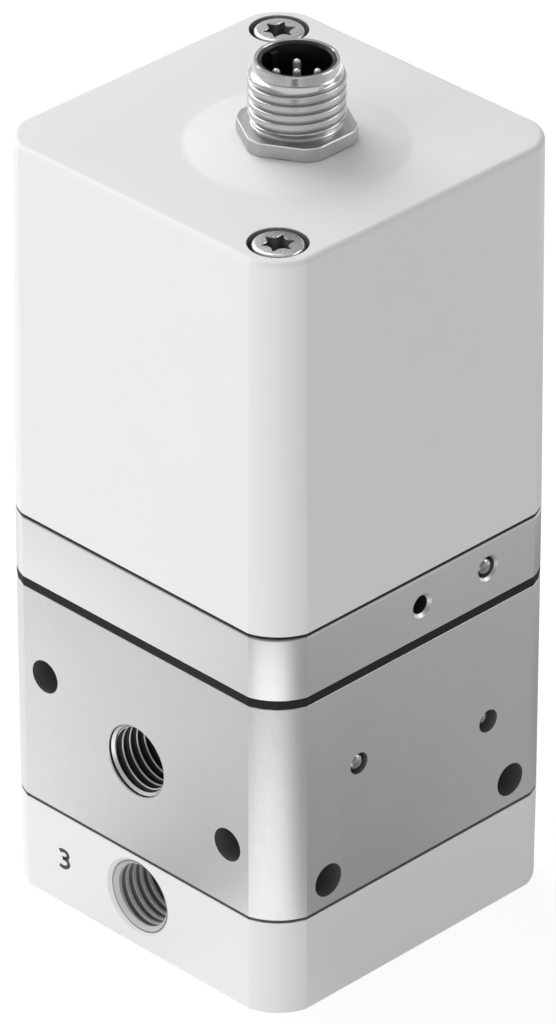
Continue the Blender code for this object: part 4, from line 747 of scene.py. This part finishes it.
# ---- connector
connector = {
    "foot": 107.83, "flats": 13.8, "cornerRadius": 7.45, "flange": 1.85, "flangeEdge": 0.12,
    "undercut": 5.4, "undercutTop": 0.55, "fillet": 0.25, "thread": 6.0, "root": 5.58, "pitch": 1.235,
    "threadTop": 9.2, "runIn": 0.5, "runOut": 0.75, "collar": 5.25, "collarStep": 0.02,
    "rimTop": 10.35, "rimEdge": 0.08, "bore": 4.79, "barrel": 5.7, "barrelBottom": -6.93,
    "barrelRow": -0.9, "columns": 240, "crestShare": 0.44, "rootShare": 0.14, "lead": -0.36,
    "stations": (0, 0.11, 0.22, 0.26, 0.30, 0.34, 0.38, 0.43, 0.5),
    # finishes: the share of a turn and the heights between which roots get painted shade, and the
    # radii outside of which the roots, the flange's table and its sides lie
    "paintedShade": (0.30, 0.76), "shadeEnds": (0.1, 0.4), "shadeFrom": 5.3, "tableFrom": 5.8, "sideFrom": 6.6,
}


def hexagonRadius(angle, s):
    # distance of a hexagon's side along each direction, with its corners turned round
    inSide = (angle + np.pi / 6) % (np.pi / 3) - np.pi / 6
    return np.minimum(s["flats"] / 2 / np.cos(inSide), s["cornerRadius"])


def makeSleeve(s):
    # rows run up the outside and down the bore; on threaded rows the radius follows the helix
    angle = np.linspace(0, 2 * np.pi, s["columns"] + 1)
    hexagon = hexagonRadius(angle, s)
    top, edge, rim, fillet = s["flange"], s["flangeEdge"], s["rimEdge"], s["fillet"]
    neck = s["undercut"] + fillet
    rows = [(s["bore"], s["barrelBottom"]), (s["barrel"], s["barrelBottom"]),
            (s["barrel"], s["barrelRow"]), (s["barrel"], 0), (hexagon - edge, 0), (hexagon, edge),
            (hexagon, top - edge), (hexagon - edge, top), (neck, top)]
    rows += arcPoints((neck, top + fillet), fillet, 270, 180, 4).tolist()
    start, end = top + s["undercutTop"], s["threadTop"]
    for z in helixHeights(start, end, s["pitch"], s["stations"], angle, s["lead"]):
        flank = threadWave((z + s["lead"]) / s["pitch"] - angle / (2 * np.pi), s["crestShare"],
                           s["rootShare"])
        wave = smoothStep(flank, 0, 1)  # crests and roots worn round
        rise = smoothStep(z, start, start + s["runIn"])
        crest = s["undercut"] + (s["thread"] - s["undercut"]) * rise
        root = np.minimum(s["root"], crest)
        fade = 1 - smoothStep(z, end - s["runOut"], end)
        outer = s["collar"] + (crest - s["collar"]) * fade
        inner = s["collar"] + (root - s["collar"]) * fade
        rows.append((inner + (outer - inner) * wave, z))
    rows += [(s["collar"], end + s["collarStep"]), (s["collar"], s["rimTop"] - rim),
             (s["collar"] - rim, s["rimTop"]), (s["bore"] + rim, s["rimTop"]),
             (s["bore"], s["rimTop"] - rim)]
    foot = np.array([connectorX, 0, s["foot"]])
    grid = np.array([ringRow(angle, radius, height) for radius, height in rows]) * mm + foot * mm
    piece = closedMesh("connectorShell", grid, "turnedNickelPlate", 30.0, ring=True, seam=True)

    def flangeBand(centre, low, high):
        # faces round the flange between two heights
        x, y, height = (centre - foot).T
        return (np.hypot(x, y) > s["sideFrom"]) & (height > low) & (height < high)

    # painted shade: the thread's roots, the flange's lower chamfer and its table
    def paintedShade(centre):
        x, y, height = (centre - foot).T
        across = np.hypot(x, y)
        turn = ((height + s["lead"]) / s["pitch"] - np.arctan2(y, x) / (2 * np.pi)) % 1.0
        (low, high), (first, last) = s["paintedShade"], s["shadeEnds"]
        root = (turn > low) & (turn < high) & (height > start + first) & (height < end - last)
        under = flangeBand(centre, tolerance, edge - tolerance)
        table = (across > s["tableFrom"]) & (np.abs(height - top) < tolerance)
        return root & (across > s["shadeFrom"]) | under | table

    # the flange's upper chamfer gets the painted highlight
    def highlighted(centre):
        return flangeBand(centre, top - edge + tolerance, top - tolerance)

    def hexagonSide(centre):
        return flangeBand(centre, edge, top - edge)

    # painted shade on the roots and round the flange
    secondFinish(piece, "shadedNickelPlate", paintedShade)
    # painted highlight on the flange's upper chamfer
    secondFinish(piece, "paintedHighlightEdge", highlighted)
    secondFinish(piece, "drawnNickelPlate", hexagonSide)
    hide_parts("connector_sleeve")
    return piece


insert = {
    "radius": 4.76, "wall": 0.46, "sunk": 0.05, "floor": 9.0, "lip": 0.25, "corner": 0.2,
    "keyWidth": 1.0, "keyReach": 0.6, "keySunk": 0.7, "keyInWall": 0.2, "keyInFloor": 0.4,
}
pins = {"radius": 0.5, "circle": 2.5, "sunk": 1.45, "tail": 95.9}


def makeInsert(s, c):
    rim, bottom = c["foot"] + c["rimTop"], c["foot"] + c["barrelBottom"]
    face, floor = rim - s["sunk"], rim - s["floor"]
    inside = s["radius"] - s["wall"]
    profile = [(0, bottom), (s["radius"], bottom), (s["radius"], face), (inside + s["lip"], face),
               (inside, face - s["lip"]), (inside, floor + s["corner"]),
               (inside - s["corner"], floor), (0, floor)]
    piece = turnedPiece("contactInsert", profile, "blackPolyamide", (connectorX, 0, 0))
    wall, side = connectorX - inside, s["keyWidth"] / 2
    keyGrid = blockGrid((wall - s["keyInWall"], -side, floor - s["keyInFloor"]),
                        (wall + s["keyReach"], side, rim - s["keySunk"]))
    key = closedMesh("key", keyGrid, None)
    combine(piece, [key], "UNION")
    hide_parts("connector_insert")
    return piece


def makePins(s, c):
    # contacts with a ball-nosed tip: centre one first, then four on the circle
    tip = c["foot"] + c["rimTop"] - s["sunk"]
    profile = [(0, s["tail"]), (s["radius"], s["tail"])]
    profile += arcPoints((0, tip - s["radius"]), s["radius"], 0, 90, 8).tolist()
    places = [(connectorX, 0.0)]
    for quarter in range(4):
        a = math.pi / 4 + quarter * math.pi / 2
        places.append((connectorX + s["circle"] * math.cos(a), s["circle"] * math.sin(a)))
    made = []
    for number, (x, y) in enumerate(places, 1):
        piece = turnedPiece(f"contactPin{number}", profile, "tinnedContact", (x, y, 0), steps=32)
        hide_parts(f"contact_pin_{number}")
        made.append(piece)
    return made


connectorPieces = [makeSleeve(connector), makeInsert(insert, connector)] + makePins(pins, connector)
print("connector made")

# ---- screws and balls
coverScrew = {
    "head": 3.27, "flat": 2.75, "headHeight": 3.27, "shank": 1.7, "length": 54.6, "tip": 0.3,
    "sunk": 0.03, "recess": 2.10, "lobeShare": 0.36, "lobeWidth": 0.60, "recessDepth": 1.8,
    "recessEdge": 0.10,
}
baseScrew = {
    "head": 2.75, "crown": 0.3, "headHeight": 3.0, "shank": 1.5, "length": 21.6, "hexagon": 2.5,
    "recessDepth": 1.6, "seat": 3.4,
}
underHead = 0.03  # mm, gap between a head and its seat
beyond = 0.5  # mm, how far a recess cutter stands out of the head


def lobedGrid(s, points=120):
    # six-lobe recess, r = R (1 - k (1 + w^2) s^2 / (s^2 + w^2)) with s = sin 3a, and a chamfer round
    # its mouth
    angle = np.arange(points) * 2 * np.pi / points
    wave, width = np.sin(3 * angle) ** 2, s["lobeWidth"] ** 2
    radius = s["recess"] * (1 - s["lobeShare"] * (1 + width) * wave / (wave + width))
    top, edge = s["headHeight"], s["recessEdge"]
    rows = [(top - s["recessDepth"], 0), (top - edge, 0), (top, edge), (top + beyond, edge + beyond)]
    return np.array([ringRow(angle, radius + grow, z) for z, grow in rows]) * mm


def makeCoverScrew(name, node, x, y, s):
    seat = body["coverTop"] - s["headHeight"] - s["sunk"]
    side = s["head"] - s["flat"]
    crown = arcPoints((s["flat"], s["headHeight"] - side), side, 0, 90, 6).tolist()
    profile = [(0, -s["length"]), (s["shank"] - s["tip"], -s["length"]),
               (s["shank"], s["tip"] - s["length"]), (s["shank"], underHead), (s["head"], underHead),
               *crown, (0, s["headHeight"])]
    piece = turnedPiece(name, profile, "tumbledStainlessSteel", (x, y, seat))
    tool = closedMesh("recess", lobedGrid(s) + np.array([x, y, seat]) * mm, None)
    combine(piece, [tool], sharp=20.0)

    def recess(centre):
        across = np.hypot(centre[:, 0] - x, centre[:, 1] - y)
        depth = s["headHeight"] - (centre[:, 2] - seat)
        inside = (depth > s["recessEdge"]) & (depth < s["recessDepth"] + tolerance)
        return (across < s["recess"]) & inside

    # painted shade on the walls of the recess
    secondFinish(piece, "recessShadeSteel", recess)
    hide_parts(node)
    return piece


def makeBaseScrew(number, x, y, s):
    edge = s["crown"]
    crown = arcPoints((s["head"] - edge, s["headHeight"] - edge), edge, 0, 90, 5).tolist()
    profile = [(0, -s["length"]), (s["shank"], -s["length"]), (s["shank"], underHead),
               (s["head"], underHead), *crown, (0, s["headHeight"])]
    piece = turnedPiece(f"baseScrew{number}", profile, "tumbledStainlessSteel", (x, y, s["seat"]),
                        (0, 0, -1), 64)
    angle = np.arange(6) * np.pi / 3
    radius = s["hexagon"] / 2 / math.cos(math.pi / 6)
    heights = (s["headHeight"] - s["recessDepth"], s["headHeight"] + beyond)
    grid = np.array([ringRow(angle, radius, z) for z in heights]) * mm
    grid = axisPlaced(grid, (x, y, s["seat"]), (0, 0, -1))
    combine(piece, [closedMesh("recess", grid, None)], sharp=20.0)
    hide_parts(f"base_screw_{number}")
    return piece


def makeBall(name, s):
    # sphere: r cos and r sin of the height angle
    profile = arcPoints((0, 0), s["hole"] - tolerance, -90, 90, 24)
    centre = (body["width"] / 2 - s["depth"], *ballPlace(s))
    # darker steel: painted shade of the ball in its hole
    piece = turnedPiece(name, profile, "polishedSteelBall", centre, (1, 0, 0), 48)
    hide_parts(s["node"])
    return piece


front, back = coverScrewPlaces
fasteners = [
    makeCoverScrew("coverScrewFront", "cover_screw_front", *front, coverScrew),
    makeCoverScrew("coverScrewBack", "cover_screw_back", *back, coverScrew),
]
for number, (x, y) in enumerate(baseScrewPlaces, 1):
    fasteners.append(makeBaseScrew(number, x, y, baseScrew))
fasteners += [makeBall(name, s) for name, s in ballHoles.items()]
print("screws and balls made")

# ---- printed port numeral, a plain figure three
numeral = {
    "x": -13.44, "z": 6.98, "height": 3.02, "stroke": 0.54, "proud": 0.02, "sunk": 0.02, "steps": 28,
    "rise": 0.09, "upperShare": 0.465, "upperStretch": 1.5, "lowerStretch": 1.45, "upperEnd": 140,
    "lowerEnd": 133, "tongue": 100,
}


def numeralBows(s):
    # a band of even width along two bows, arcs stretched sideways that meet in the middle, the whole
    # rising a little to the right
    stroke, total = s["stroke"], (s["height"] - s["stroke"]) / 2
    upper, lower = total * s["upperShare"], total * (1 - s["upperShare"])
    top = s["height"] / 2 - stroke / 2
    topBow = arcPoints((0, top - upper), upper, s["upperEnd"], -s["tongue"], s["steps"])
    lowBow = arcPoints((0, lower - top), lower, s["tongue"], -s["lowerEnd"], s["steps"])
    pieces = []
    for bow, stretch in ((topBow, s["upperStretch"]), (lowBow, s["lowerStretch"])):
        path = bow * [stretch, 1.0]
        path[:, 1] += s["rise"] * path[:, 0]
        along = np.gradient(path, axis=0)
        along /= np.linalg.norm(along, axis=1, keepdims=True)
        normal = np.stack([-along[:, 1], along[:, 0]], axis=1) * stroke / 2
        pieces.append((path + normal, path - normal))
    return pieces


def makeNumeral(s):
    lean = base["draft"] / body["baseTop"]
    parts = []
    for number, (left, right) in enumerate(numeralBows(s)):
        rows = []
        for edge, out in ((left, 0), (left, 1), (right, 1), (right, 0)):
            x, z = edge[:, 0] + s["x"], edge[:, 1] + s["z"]
            face = -body["width"] / 2 + base["draft"] - lean * z
            y = face + s["sunk"] - (s["sunk"] + s["proud"]) * out
            rows.append(np.stack([x, y, z], axis=-1))
        grid = np.array(rows).transpose(1, 0, 2) * mm
        parts.append(closedMesh("portNumeral" + "AB"[number], grid, "padPrintedInk", 30.0))
    return parts


numerals = makeNumeral(numeral)
print("numeral made")

# ---- springs, with closed end coils
# wire is the radius of the wire, and held is the end that stays: 0 the lower, 1 the upper
pilotSpring = {"travel": 0.4, "held": 1, "wire": 0.18, "turns": 4.0}
springs = {
    "mainSpring": {"node": "poppet_spring", "joint": "poppet_travel", "travel": 0.8, "held": 0,
                   "wire": 0.45, "turns": 4.5},
    "fillSpring": {**pilotSpring, "node": "fill_valve_spring", "joint": "fill_armature_travel"},
    "exhaustSpring": {**pilotSpring, "node": "exhaust_valve_spring",
                      "joint": "exhaust_armature_travel"},
}
springMesh = {"steps": 32, "sides": 12, "closedPitch": 2.25}  # pitch in radii of the wire


def makeSpring(name, s, m):
    # wire of radius w on a coil of radius R: (R + w cos b) times cos a and sin a, and h(a) + w sin b
    low, high = (np.array(corner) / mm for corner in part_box(s["node"]))
    middle, length, wire = (low + high) / 2, high[2] - low[2], s["wire"]
    closed = m["closedPitch"] * wire
    turn = np.linspace(0, s["turns"], int(s["turns"] * m["steps"]) + 1)[:, None]
    height = np.interp(turn, (0, 1, s["turns"] - 1, s["turns"]),
                       (wire, wire + closed, length - wire - closed, length - wire))
    around = np.arange(m["sides"]) * 2 * np.pi / m["sides"]
    reach = (high[0] - low[0]) / 2 - wire + wire * np.cos(around)
    angle = 2 * np.pi * turn
    grid = np.stack([middle[0] + reach * np.cos(angle), middle[1] + reach * np.sin(angle),
                     low[2] + height + wire * np.sin(around)], axis=-1) * mm
    piece = closedMesh(name, grid, "springSteelWire", 40)
    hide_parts(s["node"])
    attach(piece, "housing")
    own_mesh(piece)


for name, s in springs.items():
    makeSpring(name, s, springMesh)
print("springs made")

for piece in shell + threads + connectorPieces + fasteners + numerals:
    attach(piece, "housing")

# ---- floor, lamps and world
# The camera sees plain white. Metal sees a painted reflection in the floor, a glow seen only in
# mirrored
# rays: tones are its brightness by direction, from 0 at -X through -Y, +X and +Y. The plate and the
# block mirror the floor nearer than farFrom metres, with nearTones, and the connector mirrors the
# rest, with farTones. To other surfaces the floor also gives a painted glow. The walls of the room
# are dimmer above and in front.
stageSettings = {
    "floorSize": 6.0, "floorDrop": 0.0002, "floorColour": "#B4B4B4", "floorPaintedGlow": 0.35,
    "floorGlow": 0.84, "floorShare": 0.26, "fill": 0.36, "farFrom": (0.168, 0.182), "brightest": 2.0,
    "nearTones": ((0, 1.1), (0.11, 1.42), (0.19, 0.92), (0.24, 0.62), (0.30, 1.62), (0.375, 1.64),
                  (0.45, 0.40), (0.53, 0.36), (0.62, 0.52), (0.75, 0.22), (0.88, 0.45), (1, 1.0)),
    "farTones": ((0, 1.5), (0.08, 1.4), (0.125, 1.05), (0.18, 0.62), (0.25, 0.55), (0.375, 0.52),
                 (0.50, 0.50), (0.60, 0.58), (0.65, 0.9), (0.70, 1.7), (0.75, 1.9), (0.875, 1.3),
                 (1, 1.5)),
    # brightness high in the room, in front and overhead, and where each sets in and is reached
    "ceiling": 0.46, "ceilingFrom": (0.05, 0.5), "front": 0.45, "frontFrom": (0.2, 0.9),
    "overhead": 0.9, "overheadFrom": (0.70, 0.90), "frontAxis": (0.707, -0.707, 0),
}
lampAim = Vector((0, 0, 0.05))
lamps = {
    "keySoftbox": {"at": (-0.33, -1.49, 0.40), "size": (1.3, 1.1), "power": 11.6,
                   "diffuse": True, "glossy": False},
    "frontFill": {"at": (1.18, -0.99, 0.42), "size": (0.9, 0.9), "power": 2.35,
                  "diffuse": True, "glossy": False},
    "topSoftbox": {"at": (-1.13, 0.15, 1.18), "size": (1.2, 1.2), "power": 16.6,
                   "diffuse": True, "glossy": True},
    "backStrip": {"at": (0.95, 1.15, 1.0), "size": (0.9, 0.9), "power": 5.0,
                  "diffuse": False, "glossy": True},
}


def rayKind(tree):
    # what the light path is: 1 for a plain view of the background, and 1 for a mirrored one
    path = addNode(tree, "ShaderNodeLightPath")
    plain = addNode(tree, "ShaderNodeMath", {"operation": "MAXIMUM"},
                    {0: (path, "Is Camera Ray"), 1: (path, "Is Transmission Ray")})
    return (plain, "Value"), (path, "Is Glossy Ray")


def pick(tree, shaders, kinds):
    # the first shader, unless a kind is 1: then the shader that goes with that kind
    chosen = shaders[0]
    for shader, kind in zip(shaders[1:], kinds):
        chosen = addNode(tree, "ShaderNodeMixShader", None, {0: kind, 1: (chosen, 0), 2: (shader, 0)})
    return chosen


def toneCurve(tree, compass, tones, brightest):
    # brightness by direction as a curve of points (share of a turn, level)
    tone = addNode(tree, "ShaderNodeFloatCurve", None, {"Value": (compass, "Fac")})
    curve = tone.mapping.curves[0]
    for at, level in tones[1:-1]:
        curve.points.new(at, level / brightest)
    for point, (at, level) in ((curve.points[0], tones[0]), (curve.points[-1], tones[-1])):
        point.location = (at, level / brightest)
    tone.mapping.update()
    return tone


def makeFloor(s):
    size = s["floorSize"] / 2
    mesh = bpy.data.meshes.new("floor")
    mesh.from_pydata([(-size, -size, 0), (size, -size, 0), (size, size, 0), (-size, size, 0)], [],
                     [(0, 1, 2, 3)])
    floor = bpy.data.objects.new("floor", mesh)
    bpy.context.scene.collection.objects.link(floor)
    floor.location.z = -s["floorDrop"]
    material = bpy.data.materials.new("paleStudioFloor")
    tree = emptyTree(material)
    lit = addNode(tree, "ShaderNodeBsdfDiffuse", {"Color": hexToLinear(s["floorColour"])})
    # painted glow: the floor gives off light besides what its colour reflects
    paintedGlow = addNode(tree, "ShaderNodeEmission", {"Strength": s["floorPaintedGlow"]})
    plain = addNode(tree, "ShaderNodeAddShader", None, {0: (lit, 0), 1: (paintedGlow, 0)})
    thin = addNode(tree, "ShaderNodeBsdfDiffuse", {"Color": (s["floorShare"],) * 3 + (1,)})
    glow = addNode(tree, "ShaderNodeEmission", {"Strength": s["floorGlow"]})
    seen = addNode(tree, "ShaderNodeAddShader", None, {0: (thin, 0), 1: (glow, 0)})
    place = (addNode(tree, "ShaderNodeTexCoord"), "Object")
    compass = addNode(tree, "ShaderNodeTexGradient", {"gradient_type": "RADIAL"}, {"Vector": place})
    near = toneCurve(tree, compass, s["nearTones"], s["brightest"])
    far = toneCurve(tree, compass, s["farTones"], s["brightest"])
    distance = addNode(tree, "ShaderNodeVectorMath", {"operation": "LENGTH"}, {0: place})
    low, high = s["farFrom"]
    share = addNode(tree, "ShaderNodeMapRange", {"From Min": low, "From Max": high},
                    {"Value": (distance, "Value")})
    tone = addNode(tree, "ShaderNodeMix", {"data_type": "FLOAT"},
                   {"Factor": (share, "Result"), "A": (near, 0), "B": (far, 0)})
    strength = addNode(tree, "ShaderNodeMath", {"operation": "MULTIPLY", 1: s["brightest"]},
                       {0: (tone, "Result")})
    # painted reflection: brightness by direction, seen only in mirrored rays
    mirrored = addNode(tree, "ShaderNodeEmission", None, {"Strength": (strength, "Value")})
    surface = pick(tree, (plain, seen, mirrored), rayKind(tree))
    addNode(tree, "ShaderNodeOutputMaterial", None, {"Surface": (surface, 0)})
    mesh.materials.append(material)


def makeWorld(s):
    world = bpy.data.worlds.new("studioWorld")
    bpy.context.scene.world = world
    tree = emptyTree(world)
    white = (1, 1, 1, 1)
    fill = addNode(tree, "ShaderNodeBackground", {"Color": white, "Strength": s["fill"]})
    seen = addNode(tree, "ShaderNodeBackground", {"Color": white, "Strength": 1.0})
    direction = (addNode(tree, "ShaderNodeTexCoord"), "Generated")
    height = (addNode(tree, "ShaderNodeSeparateXYZ", None, {"Vector": direction}), "Z")
    toFront = addNode(tree, "ShaderNodeVectorMath", {"operation": "DOT_PRODUCT", 1: s["frontAxis"]},
                      {0: direction})

    def ramp(source, ends, low, high):
        # goes from low to high while the source goes from one end to the other
        return addNode(tree, "ShaderNodeMapRange",
                       {"From Min": ends[0], "From Max": ends[1], "To Min": low, "To Max": high},
                       {"Value": source})

    above = ramp(height, s["ceilingFrom"], 1.0, s["ceiling"])
    ahead = ramp((toFront, "Value"), s["frontFrom"], 1.0, s["front"])
    overhead = ramp(height, s["overheadFrom"], 0.0, s["overhead"])
    walls = addNode(tree, "ShaderNodeMath", {"operation": "MULTIPLY"}, {0: (above, 0), 1: (ahead, 0)})
    both = addNode(tree, "ShaderNodeMath", {"operation": "MAXIMUM"},
                   {0: (walls, 0), 1: (overhead, 0)})
    mirrored = addNode(tree, "ShaderNodeBackground", {"Color": white}, {"Strength": (both, "Value")})
    surface = pick(tree, (fill, seen, mirrored), rayKind(tree))
    addNode(tree, "ShaderNodeOutputWorld", None, {"Surface": (surface, 0)})


def makeLamps(settings):
    for name, s in settings.items():
        data = bpy.data.lights.new(name, "AREA")
        data.shape = "RECTANGLE"
        data.size, data.size_y = s["size"]
        data.energy = s["power"]
        lamp = bpy.data.objects.new(name, data)
        bpy.context.scene.collection.objects.link(lamp)
        lamp.location = s["at"]
        lamp.rotation_euler = (lampAim - lamp.location).to_track_quat("-Z", "Y").to_euler()
        lamp.visible_diffuse, lamp.visible_glossy = s["diffuse"], s["glossy"]


makeFloor(stageSettings)
makeWorld(stageSettings)
makeLamps(lamps)
bpy.context.scene.view_settings.view_transform = "Standard"
print("stage and lamps made")
